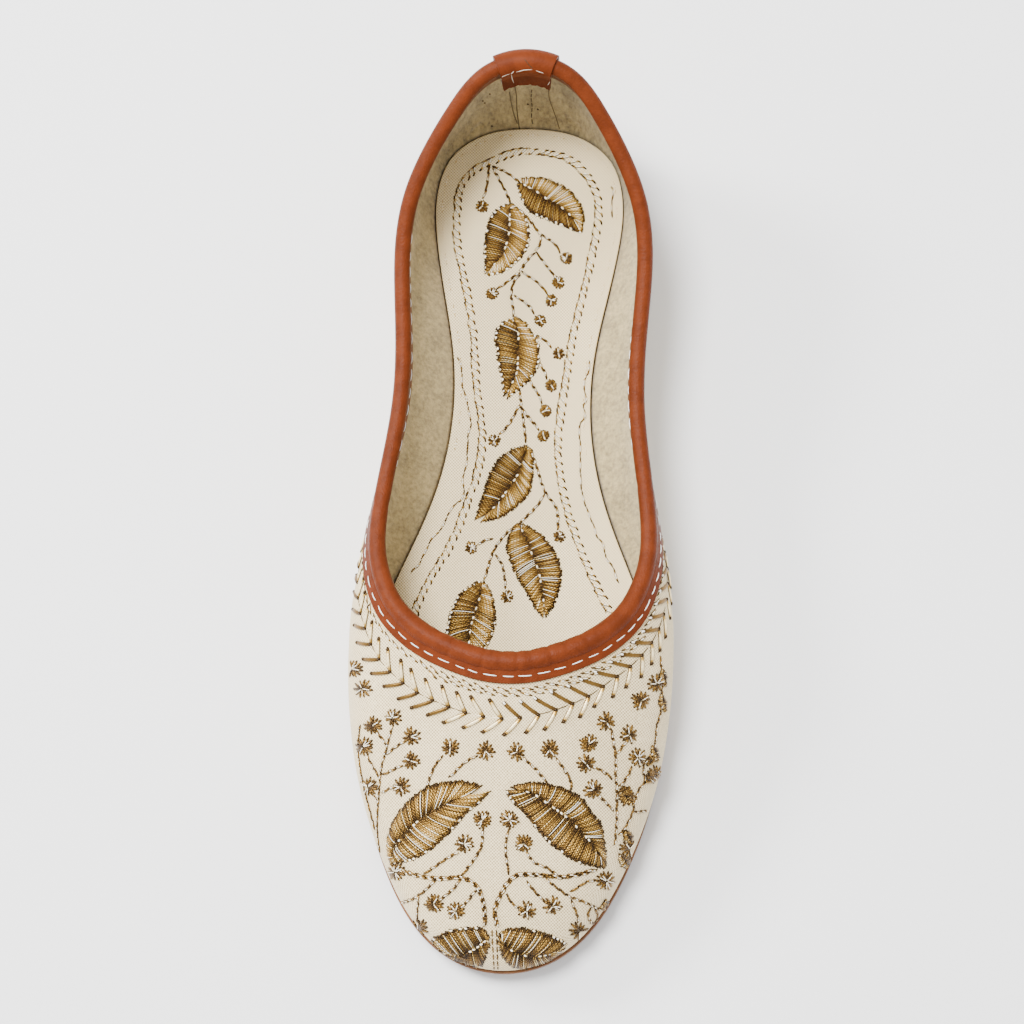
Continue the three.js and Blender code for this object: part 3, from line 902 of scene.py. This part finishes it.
def overlaid(points, normals, stitch, gap, radius, slant, share, cover, start=0.0):
    """Stitches of two plies: a brown one below and, on most of them, a white one over it, which is a painted
    highlight.
    """
    strands = []
    for at in np.arange(start, length_of(points) - stitch * LEAST_SHARE, stitch + gap):
        own = slant * chance.uniform(0.6, 1.3)
        strands += one_stitch(points, normals, at, stitch, 9, radius,
                              lambda: stem_tones[chance.integers(3)], slant=own)
        if chance.random() < share:
            begin = at + stitch * chance.uniform(0.12, 0.26)
            over = one_stitch(points, normals, begin, stitch * WHITE_LENGTH, 7, radius * cover,
                              lambda: gleam, slant=own * 0.6)
            strands += [(p + n * radius * WHITE_LIFT, n, r, tone) for p, n, r, tone in over]
    return strands


def stem(piece, pixels, double=False):
    """Stem stitch: overlapping stitches set a little askew, brown with white between."""
    points, normals = on_piece(piece, flow(pixels))
    strands = overlaid(points, normals, stitch=0.0034, gap=-0.0009, radius=STEM_RADIUS, slant=0.00028,
                       share=0.8, cover=0.48)
    if double:
        aside = unit(np.cross(np.gradient(points, axis=0), normals)) * STEM_APART
        strands += overlaid(points + aside, normals, stitch=0.0032, gap=-0.0008, radius=STEM_RADIUS,
                            slant=0.0002, share=0.85, cover=0.5, start=0.0013)
    return strands


def flower(piece, centre, across=20):
    """Short stitches out of one hole, like the spokes of a wheel, some with a white one on top."""
    strands = []
    count = int(chance.integers(11, 15))
    spin = chance.uniform(0, 2 * math.pi)
    for k in range(count):
        turn = spin + 2 * math.pi * (k + chance.uniform(-0.2, 0.2)) / count
        reach = across / 2 * chance.uniform(0.8, 1.05)
        out = np.array([math.cos(turn), math.sin(turn)])
        spots = np.array(centre) + out * np.array([1.0, reach * 0.4, reach * 0.75, reach])[:, None]
        points, normals = on_piece(piece, spots, inside=True)
        if points is None:
            continue
        points = points + normals * (np.array([0.9, 1.1, 0.8, -0.6]) * SPOKE_LIFT)[:, None]
        tones = np.array([0.1, 0.31, 0.4, 0.08]) + chance.uniform(-0.05, 0.13)
        strands.append((points, normals, np.array([0.7, 1, 1.1, 0.9]) * SPOKE_RADIUS, tones))
        # Some spokes get a white one on top: a painted highlight.
        if chance.random() < 0.27:
            points = points[:3] + normals[:3] * WHITE_SPOKE_LIFT
            strands.append((points, normals[:3], WHITE_SPOKE, gleam[1:4]))
    return strands


def satin(piece, edge, rib, tone, rise, lean, white=0.07):
    """One half of a leaf: threads laid side by side from the rib out to the edge, every other one
    sunk in shade between its neighbours."""
    edge = flow(edge, 1)
    rib = flow(rib, 1)
    count = int(len(edge) / SATIN_PITCH)
    strands = []
    for i in range(count):
        part = (i + 0.5 + chance.uniform(-0.15, 0.15)) / count
        far = sampled(edge, part * length_of(edge))
        near = sampled(rib, np.clip(part - lean, 0, 1) * length_of(rib))
        run = far - near
        far = far + run / max(np.linalg.norm(run), 1) * chance.uniform(-0.2, RAGGED_EDGE)
        bow = np.array([-run[1], run[0]]) * chance.uniform(-0.01, 0.04)
        steps = np.linspace(0, 1, 6)[:, None]
        spots = near + (far - near) * steps + bow * (4 * steps * (1 - steps))
        points, normals = on_piece(piece, spots)
        proud = i % 2
        lift = rise * SATIN_ARCH + chance.uniform(0, 0.00006)
        points = points + normals * (lift + proud * PROUD)[:, None]
        lighter, radius = PROUD_THREAD if proud else SUNK_THREAD
        own = tone + lighter + chance.normal(0, 0.08)
        shade = SATIN_SHADE
        # Some proud threads are drawn white: painted highlights.
        if proud and chance.random() < 2 * white:
            points = points + normals * PROUD
            shade = WHITE_SHADE * chance.uniform(0.45, 1.0)
            radius = WHITE_THREAD
        strands.append((points, normals, radius, np.clip(own + shade, 0, 1)))
    return strands


def leaf(piece, halves, rib, tones, rise, lean=(0.02, 0.1), beads=(), pearl=0.35, white=0.07):
    """Two satin halves, a ridge of small knots along the rib, and beaded edges where charted."""
    strands = []
    for edge, tone, own_lean in zip(halves, tones, lean):
        strands += satin(piece, edge, rib, tone, rise, own_lean, white)
    points, normals = on_piece(piece, flow(rib))
    strands += running(points + normals * rise * 0.55, normals, stitch=0.0012, gap=0.0002, radius=0.00028,
                       tone=lambda: knot_tones[int(chance.random() < 0.4)], slant=0.0001)
    for edge in beads:
        strands += running(*on_piece(piece, flow(edge)), stitch=0.0011, gap=0.0004, radius=0.0003,
                           tone=lambda: knot_tones[int(chance.random() < pearl)], slant=0.0002)
    return strands


def leaflet(piece, base, tip, width):
    """A small satin leaf on a side stem."""
    base, tip = np.array(base, float), np.array(tip, float)
    middle = (base + tip) / 2
    side = np.array([base[1] - tip[1], tip[0] - base[0]]) / np.linalg.norm(tip - base) * width
    strands = []
    for way, tone in ((1, 0.5), (-1, 0.3)):
        strands += satin(piece, [base, middle + side * way, tip], [base, middle, tip], tone, 0.0004, 0.05)
    return strands


# Leaves: the upper edge, the lower edge, the rib, and the tones of the two halves, or at the toe how
# far the threads lean.
BIG_LEAVES = [
    ([(223, 860.5), (219.5, 843), (222, 827), (230, 810), (242, 796), (255, 786), (270, 780), (288, 778),
      (300, 779), (313, 782.5)],
     [(223, 860.5), (232, 858), (243, 856), (255, 850), (270, 839), (288, 820), (299, 808), (308, 801),
      (316, 793), (321.5, 787.5)],
     [(226, 853), (228, 842), (240.5, 827), (255, 813.5), (270, 804), (288, 795), (295, 790)],
     (0.44, 0.51)),
    ([(343, 784), (355, 780.5), (370, 780), (389.5, 784), (403, 789), (414, 796), (423, 810), (431, 819),
      (435.5, 838), (437.5, 862)],
     [(338, 787), (345, 798), (355, 808), (362, 816), (372, 828.5), (383, 840), (395, 849), (407, 857),
      (420.5, 861), (437, 864)],
     [(357, 787), (366.5, 791), (378, 799), (389.5, 807), (401, 816), (412.5, 828.5), (424, 841),
      (433, 855)], (0.42, 0.4)),
]
TOE_LEAVES = [
    ([(262, 938), (275, 930), (287, 926), (304, 924.5), (315, 926), (321, 934)],
     [(266, 942), (275, 950), (287, 960), (300, 967), (313, 962), (322, 937)],
     [(272, 946), (283, 951), (292, 953), (299, 949), (308.5, 943.5), (318, 936)], (-0.2, -0.05)),
    ([(330, 934), (336, 927), (350, 925), (360, 926), (375, 930), (389, 935), (398, 941)],
     [(330, 937), (335, 953), (344, 962), (355.5, 967), (370.5, 964), (385, 955), (396, 944)],
     [(334, 939), (343, 946), (355.5, 951), (367, 952), (379, 950), (389, 946)], (0.2, 0.05)),
]
leaf_strands = []
for top, under, rib, tones in BIG_LEAVES:
    leaf_strands += leaf(upper, (top, under), rib, tones, rise=0.0008, lean=(0.07, 0.02), beads=(under,))
for top, under, rib, lean in TOE_LEAVES:
    leaf_strands += leaf(upper, (top, under), rib, (0.36, 0.3), rise=0.0005, lean=lean, beads=(top,),
                         white=0.14)
sew("upper_leaves", leaf_strands, zari)

# Small leaves: their base, their tip and half their width.
LEAFLETS = [
    ((451, 787), (464, 801), 4.0), ((449, 790), (461, 784), 3.0), ((450, 850), (463, 866), 5.0),
    ((476, 779), (491, 768), 4.5), ((431, 905), (445, 901), 3.0), ((483, 742), (489, 757), 3.5),
    ((478, 762), (487, 752), 3.0), ((456, 826), (462, 840), 4.0), ((493, 665), (496, 682), 3.0),
    ((492, 690), (496, 708), 3.0),
]
MAIN_STEMS = [
    [(226, 862), (245, 870), (270, 874), (293, 873), (308.5, 881.5), (314, 893), (316.5, 904), (318, 924)],
    [(429.7, 865), (417, 870), (403, 873), (393, 874.5), (378, 873), (351, 872), (340.6, 879), (335, 888),
     (330, 898), (327, 908), (330, 924)],
]
SIDE_STEMS = [
    [(491, 652), (493.5, 670), (493.5, 690), (492, 708), (488, 722)], [(293, 873), (312, 845), (314, 824)],
    [(255, 871), (275, 857), (290, 848)], [(293, 874), (285, 885), (271, 897)],
    [(308.5, 885), (296, 901), (290, 905)], [(268, 876), (250, 892), (232, 900)],
    [(250, 890), (249, 916), (250.5, 922)], [(357, 877), (370, 892), (378, 897.5)],
    [(337, 890), (345, 901), (352, 905)], [(393, 874.5), (378, 864), (366.5, 859.5), (357, 848)],
    [(340.6, 872), (337, 845), (340, 824)],
    [(376, 874.5), (389.5, 885), (401, 893), (416, 898.6), (433, 907)],
    [(401, 889), (419, 878), (431, 877)], [(402, 896), (408, 910), (410, 920)],
    [(423, 903), (419, 911), (424, 920), (429, 912), (425, 904)], [(258, 785), (265, 765), (276, 749)],
    [(280, 775), (295, 760), (310, 751)], [(403, 788), (401, 774.5), (386, 753)],
    [(380, 780), (366.5, 765), (354, 754)],
    [(212, 850), (209, 825), (210, 800), (213, 765), (219, 742), (224, 722)],
    [(213, 790), (221, 785), (227, 783)], [(213, 772), (225, 766), (237, 760)],
    [(217, 752), (228, 743), (237, 737)], [(211, 800), (206, 793), (202, 789)],
    [(212, 775), (204, 762), (198, 750)], [(219, 742), (212, 733), (208, 728)],
    [(442, 725), (445, 740), (447, 755), (447, 773), (448, 785), (448, 815), (447, 831), (446, 843)],
    [(450, 784), (459, 773), (463, 762)], [(445, 776), (437, 770), (429, 765), (421, 762)],
    [(446, 808), (435.5, 797.5), (429, 791)], [(447, 752), (454, 743), (458, 737)],
    [(488, 720), (486, 742), (481, 753), (474.5, 763), (476, 778), (470, 786), (466.5, 797.5), (463, 811),
     (457, 823), (450, 832)],
    [(465, 809), (472, 808), (479, 807)], [(192, 720), (190, 745), (194, 775), (200, 800), (208, 830)],
]
TOE_SEAMS = [[(323.5, 926), (324, 939), (325.7, 966)], [(328, 926), (328.4, 939), (329.5, 966)]]
FLOWERS = [
    (225, 714), (205, 722), (243, 733), (243, 757), (196, 743), (195, 685), (185, 665), (233, 783),
    (201, 783), (282, 744), (317, 747), (348, 748), (381, 746), (420, 740), (437, 718), (417, 760),
    (424.5, 786), (460, 731), (468.8, 754), (472, 697), (487, 680), (314, 816), (341, 816), (296, 840),
    (355, 840), (265.5, 900), (287.5, 907), (358, 907), (384, 902), (437, 877), (228, 868), (250.5, 925),
    (410, 927), (460, 845), (458, 793), (487, 771),
]
spray_strands = []
for base, tip, width in LEAFLETS:
    spray_strands += leaflet(upper, base, tip, width)
for pixels in MAIN_STEMS:
    spray_strands += stem(upper, pixels, double=True)
for pixels in SIDE_STEMS:
    spray_strands += stem(upper, pixels)
for pixels in TOE_SEAMS:
    spray_strands += running(*on_piece(upper, flow(pixels)), stitch=0.0024, gap=0.0002, radius=0.00022,
                             tone=lambda: stem_tones[chance.integers(3)])
for centre in FLOWERS:
    spray_strands += flower(upper, centre)
sew("upper_sprays", spray_strands, zari)

# Heel stitching. White stitches holding the flap of the tab, and the dark closing seams of the lining
# under it, which come out at the insole, with a few prick marks beside them. A dark thread along the
# tab's crease is painted shade.
TAB_STITCHES = [
    [(326.5, 76), (330, 72)], [(331, 74), (337, 72), (342.5, 70)], [(342, 71), (345.5, 67.5)],
    [(347, 69), (356, 66.3), (364.5, 66.3)], [(367, 67), (375.5, 69.8)], [(378, 71), (385.5, 75)],
    [(343, 71), (343.6, 75), (345.6, 80)], [(381.5, 78), (379, 82)],
]
# Where the tab's crease lies, drawn as a dark line of painted shade.
TAB_CREASE_SHADOW = [(355, 55), (358.5, 58.5), (360, 61), (365, 66)]
LINING_SEAMS = [
    [(341, 88), (343, 100), (346, 112), (349, 120)],
    [(346, 81), (348, 92), (348.5, 105), (350, 118), (351.5, 127)],
    [(380, 84), (381, 95), (384, 104), (388, 115), (391, 125)],
]
CENTRE_SEAM = [(363.5, 86), (362.8, 95), (363.8, 103), (363.2, 112), (364.5, 122)]
PRICK_MARKS = [(315, 98), (317, 100), (322, 91), (324, 123), (358, 81), (360, 101), (370, 106)]
SEAM_SINK = 0.00006
SEAM_RADIUS = 0.00019
tab_strands = []
for pixels in TAB_STITCHES:
    points, normals = on_piece(tab, flow(pixels))
    tab_strands += running(points, normals, length_of(points), gap=1, radius=0.00008,
                           tone=lambda: cotton_tones * 0.3)
sew("tab_stitches", tab_strands, cotton)
seam_and_shadow_strands = []
for pixels in LINING_SEAMS:
    points, normals = on_piece(upper, flow(pixels))
    seam_and_shadow_strands.append((points - normals * SEAM_SINK, normals, SEAM_RADIUS, 0.35))
# Painted shade: a dark thread laid along the crease of the tab.
crease = on_piece(tab, flow(TAB_CREASE_SHADOW))
seam_and_shadow_strands += running(*crease, length_of(crease[0]), gap=1, radius=0.0001, tone=lambda: 0.05)
seam_and_shadow_strands += running(*on_piece(upper, flow(CENTRE_SEAM)), stitch=0.0032, gap=0.0003, radius=0.00017,
                        tone=lambda: 0.12)
for u, v in PRICK_MARKS:
    mark = on_piece(upper, flow([(u - 1, v - 1), (u, v), (u + 1, v + 1.5)]))
    seam_and_shadow_strands += running(*mark, stitch=0.0008, gap=1, radius=0.00024, tone=lambda: 0.1)
seam_and_shadow_thread = material("seam_and_shadow_thread", thread([(0, (0.03, 0.022, 0.010)), (1, (0.20, 0.15, 0.07))]),
                       Specular_IOR_Level=0.1)
sew("lining_seams_and_crease_shadow", seam_and_shadow_strands, seam_and_shadow_thread)

# Arrow border. Flat gold strips in pairs, pointing one way round the collar, and a finer double
# row of thread between them and the binding. It runs on round the quarters to the heel.
ARROW_PITCH = 0.00472
FIRST_ARROW = 0.0038
BORDER_END = 0.0105
BORDER_DEPTH = 0.0125
BORDER_POINTS = 2401
# Place along the border from the middle of the throat, and the depth of its spine below the collar.
SPINE_PLACES = [-0.3, -0.06, -0.048, -0.038, -0.024, 0.0, 0.008, 0.016, 0.022, 0.03, 0.06, 0.3]
SPINE_DEPTHS = [0.011, 0.0116, 0.0122, 0.0142, 0.0153, 0.0153, 0.0148, 0.0143, 0.0139, 0.0124, 0.0118, 0.011]
SPINE_LIT = 0.008
SPINE_GAP = 0.0001
ARM_ARCH = np.array([-0.4, 0.8, 1, 0.9, -0.2])
OUTLINE = 0.0005
OUTLINE_RADIUS = 0.0002
GOLD_RADIUS = 0.00048
SHADED_BAR_RADIUS = 0.00056
KNOT_RADIUS = 0.00044
PALE_KNOT_RADIUS = 0.0003
KNOT_LENGTH = 0.13
TIP_SWAY = 0.00025
SPINE_KNOT = 0.0004
gold_bar = np.array([0.3, 0.82, 0.9, 0.86, 0.5])
shaded_bar = np.array([0.2, 0.42, 0.48, 0.44, 0.3])
outline = np.array([0.1, 0.3, 0.4, 0.3, 0.15])
border_stations = np.linspace(-HALF, HALF, BORDER_POINTS)
border_places = walked(place(border_stations % (2 * HALF), WALL / 2, -BORDER_DEPTH))
border_places -= border_places[BORDER_POINTS // 2]
last_place = border_places[-1] - BORDER_END


def on_border(places, depths):
    """Points and directions from places along the border and depths below the collar."""
    stations = np.interp(places, border_places, border_stations) % (2 * HALF)
    t = below_collar(stations, depths)
    return layer(stations, t, 0.0), wall_normal(stations, t)


def arm(start, end, radius, tones, lift):
    """A short straight strip between two places on the border."""
    part = np.linspace(0, 1, 5)
    points, normals = on_border(*[start[k] + (end[k] - start[k]) * part for k in range(2)])
    return points + normals * (lift * ARM_ARCH)[:, None], normals, radius, tones


def arrow(spot):
    """Two slanted strips that meet on the spine, each with a knot at its tip."""
    depth = float(np.interp(spot, SPINE_PLACES, SPINE_DEPTHS))
    sway = chance.normal(0, TIP_SWAY, 4)
    right = float(smooth_step(-0.004, 0.010, spot))
    inner_tip = (spot - 0.0038 - 0.0014 * right + sway[0], depth - 0.0048 + sway[1])
    outer_tip = (spot - 0.0047 + 0.0011 * right + sway[2], depth + 0.0047 + sway[3])
    # Painted shade: strips turned away from the light from the upper left are drawn brown instead of gold,
    # and the pale knots at the tips of the brown ones on the right are painted glints.
    inner_bar = gold_bar if right < 0.5 else shaded_bar
    outer_bar = gold_bar if spot > -0.015 else shaded_bar
    strands = []
    for tip, bar, drop in ((inner_tip, inner_bar, 0.0), (outer_tip, outer_bar, 0.0003)):
        end = (spot, depth + drop)
        strands.append(arm(tip, end, GOLD_RADIUS if bar is gold_bar else SHADED_BAR_RADIUS, bar, lift=0.0003))
        if bar is gold_bar:
            for side in (-OUTLINE, OUTLINE):
                strands.append(arm((tip[0] + side, tip[1]), (spot + side, end[1]), OUTLINE_RADIUS, outline,
                                   lift=0.0002))
        knot = tuple(np.array(tip) + (np.array(end) - tip) * KNOT_LENGTH)
        pale = bar is shaded_bar and right > 0.5
        radius, tone = (PALE_KNOT_RADIUS, 0.97) if pale else (KNOT_RADIUS, 0.2)
        strands.append(arm(tip, knot, radius, tone, lift=0.0004))
    ends = [(spot + way * SPINE_KNOT, depth) for way in (-1, 1)]
    return strands + [arm(*ends, SPINE_KNOT, 0.15, lift=0.0004)]


arrow_strands = []
arrows_each_way = int(last_place / ARROW_PITCH)
for k in range(-arrows_each_way, arrows_each_way + 1):
    arrow_strands += arrow(FIRST_ARROW + k * ARROW_PITCH)
for first, last, tone in ((-last_place, -SPINE_LIT, 0.28), (-SPINE_LIT, SPINE_LIT, 0.92),
                          (SPINE_LIT, last_place, 0.28)):
    places = np.linspace(first, last, 800)
    spine = on_border(places, np.interp(places, SPINE_PLACES, SPINE_DEPTHS))
    arrow_strands += running(*spine, stitch=ARROW_PITCH - SPINE_GAP, gap=SPINE_GAP, radius=0.00013,
                             tone=lambda: tone)
for depth, first, last in ((0.0074, -last_place, last_place), (0.0088, -0.024, 0.05)):
    row = on_border(np.linspace(first, last, 1600), depth)
    arrow_strands += overlaid(*row, stitch=0.0036, gap=-0.0003, radius=0.00029, slant=0.0006, share=1.0,
                              cover=0.55)
flat_zari = material("flat_metal_thread", thread(GOLD_STOPS, 0.1, 0.8, 0.34))
sew("upper_border", arrow_strands, flat_zari)

# Needlework on the insole. A vine of six satin leaves and small flowers up the middle of the sock,
# inside a rope of slanted stitches, with a fine running thread along the edge.
ROPE_PITCH = 0.0024
ROPE_WIDTH = 0.0021
ROPE_STITCH = 0.0036
ROPE_TURN = np.array([-1, -0.75, 0.1, 0.85, 1])
ROPE_RADII = np.array([1.0, 1.0, 0.95, 1.0, 1.0]) * 0.0003
ROPE_TONES = np.array([0.1, 0.32, 0.36, 0.3, 0.05])
ROPE_ARCH = 0.00024
# The white strand on each rope stitch is a painted highlight, set to one side so that the brown stitch shows
# beyond it as painted shadow.
ROPE_WHITE = 0.0002
ROPE_WHITE_LIFT = 0.00022
ROPE_WHITE_SHIFT = 0.00007
BETWEEN_START = 0.0016
BETWEEN_END = 0.0036
BETWEEN_LIFT = 0.0001
BETWEEN_RADIUS = 0.00016
BETWEEN_TONES = np.array([0.2, 0.5, 0.9, 0.35])
EDGE_THREAD_INSET = 0.0014
EDGE_THREAD_START = 10.5
EDGE_THREAD_POINTS = 700
# Leaves: the two edges, the rib, the tones of the halves, and which edges are beaded.
SOCK_LEAVES = [
    ([(353.9, 178), (354.7, 175.8), (371, 175.3), (383, 177.8), (399.5, 186.5), (409.5, 198),
      (414.8, 211.4), (413, 229)],
     [(350, 180), (353, 193), (363, 208), (373, 213), (388, 219), (403.6, 225.5), (413, 229.5)],
     [(355, 181), (370.5, 189.9), (379.6, 196.5), (389.6, 201.5), (399.5, 209.8), (410, 220)], (0.6, 0.4),
     (1,)),
    ([(342, 200), (329, 207), (321.6, 218), (317.8, 233), (317, 249.6), (317.8, 270)],
     [(342.5, 200), (354.7, 211.4), (359, 223), (360.1, 237), (356.4, 247), (346.4, 259.5), (333, 268.6),
      (319, 271)], [(341.5, 204.8), (341.5, 218), (340.6, 231), (335.7, 248), (329, 258), (321.6, 267)],
     (0.4, 0.6), (0, 1)),
    ([(345, 315), (336, 319), (330, 325), (327.5, 336), (330, 348), (330, 357), (333, 370), (335, 380),
      (336, 392)],
     [(346, 314), (356, 319), (362, 328), (368, 335), (370, 347), (370, 358), (366, 368), (358, 378),
      (348, 387), (339, 394)],
     [(346.5, 319), (350, 330), (350, 345), (349.5, 360), (349, 368), (344, 380), (339, 389)], (0.4, 0.56),
     (0, 1)),
    ([(359, 443), (345, 446), (334, 453), (326, 463), (321, 473), (317, 485), (313, 497), (310, 508),
      (308, 516)],
     [(360, 443), (363, 450), (364, 465), (363, 479), (360, 490), (350, 500), (340, 509), (328, 515),
      (313, 518)], [(358, 447), (354, 457), (350, 470), (341, 484), (333, 495), (326, 504), (316, 512)],
     (0.42, 0.54), ()),
    ([(352, 520), (360, 524), (371, 531), (380, 540), (387, 551), (391, 562), (392, 575), (389, 590),
      (384, 602), (377, 613)],
     [(350, 521), (342, 531), (339, 543), (342, 556), (348, 570), (354, 582), (361, 593), (367, 604),
      (375, 613)], [(353, 525), (359, 538), (364, 552), (370, 567), (373, 582), (375, 596), (376, 607)],
     (0.46, 0.54), ()),
    ([(313, 578), (303, 583), (293, 590), (287, 599), (283, 610), (280, 622), (279, 634), (284, 648),
      (300, 655)],
     [(315, 578), (321, 588), (325, 600), (327, 613), (325, 625), (321, 637), (314, 648), (303, 656)],
     [(313, 584), (311, 596), (307, 608), (303, 622), (301, 636), (301, 648)], (0.42, 0.6), (0, 1)),
]
SOCK_STEMS = [
    [(321, 160), (319, 180), (315, 196)], [(323, 162), (332, 178), (343, 200)],
    [(324, 163), (338, 169), (353, 180)], [(343, 201), (357, 212), (372, 231)],
    [(372, 231), (385, 239), (393, 250)], [(372, 231), (372, 240), (367, 248)],
    [(367, 248), (378, 262), (388, 275)], [(367, 248), (358, 258), (352, 268)],
    [(352, 268), (368, 278), (380, 291)], [(352, 268), (337, 280), (327, 287)],
    [(352, 270), (345, 280), (343, 292), (346, 314)], [(345, 292), (358, 300), (368, 312)],
    [(368, 332), (378, 338), (386, 347)], [(370, 358), (376, 368), (380, 377)],
    [(360, 375), (370, 391), (375, 402)], [(351, 386), (353, 402), (358, 440)],
    [(352, 400), (341, 420), (330, 433)], [(353, 405), (364, 418), (372, 427)],
    [(362, 446), (368, 462), (376, 487), (388, 505), (390, 527)],
    [(376, 490), (369, 502), (352, 519), (338, 530), (325, 548), (316, 577)],
    [(325, 534), (315, 538), (309, 542)], [(326, 551), (334, 562), (338, 588)],
]
SOCK_FLOWERS = [
    (314, 203), (398, 255), (390, 279), (383, 297), (324, 290), (372, 317), (390, 350), (383, 382),
    (377, 407), (375, 432), (326, 437), (391, 533), (303, 544), (339, 593),
]
ROPE = [
    (246, 612), (250, 600), (262, 575), (283, 540), (297, 505), (310, 465), (314, 430), (308, 380),
    (305, 330), (297, 280), (289, 240), (290, 195), (300, 172), (325, 157), (355, 148), (395, 153),
    (415, 168), (428, 190), (430, 215), (424, 250), (415, 290), (405, 330), (397, 380), (390, 430),
    (391, 465), (400, 510), (418, 560), (437, 600), (443, 614),
]
EDGE_THREADS = [
    [(288, 353), (293, 362), (294, 382), (299, 398), (300, 407), (303, 420), (300, 430), (299, 450),
     (298, 462), (294, 476), (296, 485), (293, 497), (287, 500), (280, 511), (272, 527), (265, 533),
     (258, 546), (250, 562), (244, 567), (239, 576)],
    [(421, 356), (420, 370), (416, 376), (416, 386), (418, 397), (415, 402), (417, 415), (411, 421),
     (412, 443), (412, 467), (414, 491), (421, 512), (425, 521), (429, 534), (435, 541), (438, 556),
     (444, 562), (449, 577), (455, 583)],
    [(442, 182), (445, 189), (443, 203), (445, 218)],
]


def rope(line, facing, aside, way):
    """Slanted stitches along one side of the sock, each with a white one on it and one behind."""
    strands = []
    for at in np.arange(0.0, length_of(line) - ROPE_STITCH, ROPE_PITCH):
        at += chance.uniform(-0.0003, 0.0003)
        sway = chance.uniform(0.75, 1.2)
        part, up = cut(line, facing, at, at + ROPE_STITCH * sway)
        out = cut(line, aside, at, at + ROPE_STITCH)[1]
        across = ROPE_WIDTH / 2 * ROPE_TURN * chance.uniform(0.8, 1.2) * way
        body = part + out * across[:, None] + up * (STITCH_ARCH * ROPE_ARCH)[:, None]
        strands.append((body, up, ROPE_RADII, ROPE_TONES))
        whole = length_of(body)
        white, over = cut(body, up, whole * chance.uniform(0.12, 0.3), whole * chance.uniform(0.72, 0.9))
        white = white + over * ROPE_WHITE_LIFT - out * (way * ROPE_WHITE_SHIFT)
        strands.append((white, over, ROPE_WHITE, gleam))
        between = cut(line, facing, at + BETWEEN_START, at + BETWEEN_END, 4)[0]
        between = between + out[1:] * (across[-1] * 0.9) + up[1:] * BETWEEN_LIFT
        strands.append((between, up[1:], BETWEEN_RADIUS, BETWEEN_TONES))
    return strands


sock_strands = []
for *halves, rib, tones, beaded in SOCK_LEAVES:
    sock_strands += leaf(insole, halves, rib, tones, rise=0.0006, beads=[halves[k] for k in beaded],
                         pearl=0.7)
for pixels in SOCK_STEMS:
    sock_strands += stem(insole, pixels)
for centre in SOCK_FLOWERS:
    sock_strands += flower(insole, centre, across=13)
rope_line, rope_facing = on_piece(insole, flow(ROPE, 3))
rope_aside = unit(np.cross(np.gradient(rope_line, axis=0), rope_facing))
rope_top = len(rope_line) // 2
sock_strands += rope(*[values[:rope_top + 3] for values in (rope_line, rope_facing, rope_aside)], -1)
sock_strands += rope(*[values[rope_top - 2:][::-1] for values in (rope_line, rope_facing, rope_aside)], 1)
for pixels in EDGE_THREADS:
    sock_strands += overlaid(*on_piece(insole, flow(pixels)), stitch=0.0052, gap=-0.0004, radius=0.00026,
                             slant=0.0001, share=0.95, cover=0.55)
edge_stations = np.linspace(EDGE_THREAD_START, 2 * HALF - EDGE_THREAD_START, EDGE_THREAD_POINTS)
edge_line = layer(edge_stations, 0.0, WALL + GAP + EDGE_THREAD_INSET)
edge_line[:, 2] = feather_height(edge_line[:, 1]) + INSOLE
sock_strands += running(edge_line, np.tile([0.0, 0.0, 1.0], (EDGE_THREAD_POINTS, 1)), stitch=0.0042,
                        gap=0.0034, radius=0.00013, rise=1.6,
                        tone=lambda: np.array([0.3, 0.85, 0.95, 0.85, 0.3]))
sew("insole_needlework", sock_strands, zari)

# Floor and light. A pale floor in a white studio, with one large soft light over the shoe and a
# smaller one from the upper left, where the bead of the binding catches its sheen.
FLOOR = 6.0
STUDIO_BRIGHTNESS = 1.35


def plain(where):
    return {"Base Color": blend(noise(where, 3), (0.86, 0.86, 0.86), (0.88, 0.88, 0.88))}


floor = mesh_piece("floor", [(-FLOOR, -FLOOR, 0), (FLOOR, -FLOOR, 0), (FLOOR, FLOOR, 0), (-FLOOR, FLOOR, 0)],
                   [(0, 1, 2, 3)], material("floor_pale", plain, Roughness=0.9))

world = bpy.data.worlds.new("studio")
world.use_nodes = True
backdrop = world.node_tree.nodes["Background"].inputs
backdrop["Color"].default_value = (1, 1, 1, 1)
backdrop["Strength"].default_value = STUDIO_BRIGHTNESS
bpy.context.scene.world = world


def softbox(name, place_at, aim, size, power):
    data = bpy.data.lights.new(name, "AREA")
    data.shape = "DISK"
    data.size = size
    data.energy = power
    light = bpy.data.objects.new(name, data)
    light.location = place_at
    light.rotation_euler = (Vector(place_at) - Vector(aim)).to_track_quat("Z", "Y").to_euler()
    bpy.context.scene.collection.objects.link(light)


softbox("top_light", place_at=(-0.35, 0.25, 1.6), aim=(0, 0, 0), size=0.5, power=54)
softbox("side_light", place_at=(-1.1, 0.5, 0.9), aim=(0, 0, 0.03), size=0.4, power=26)
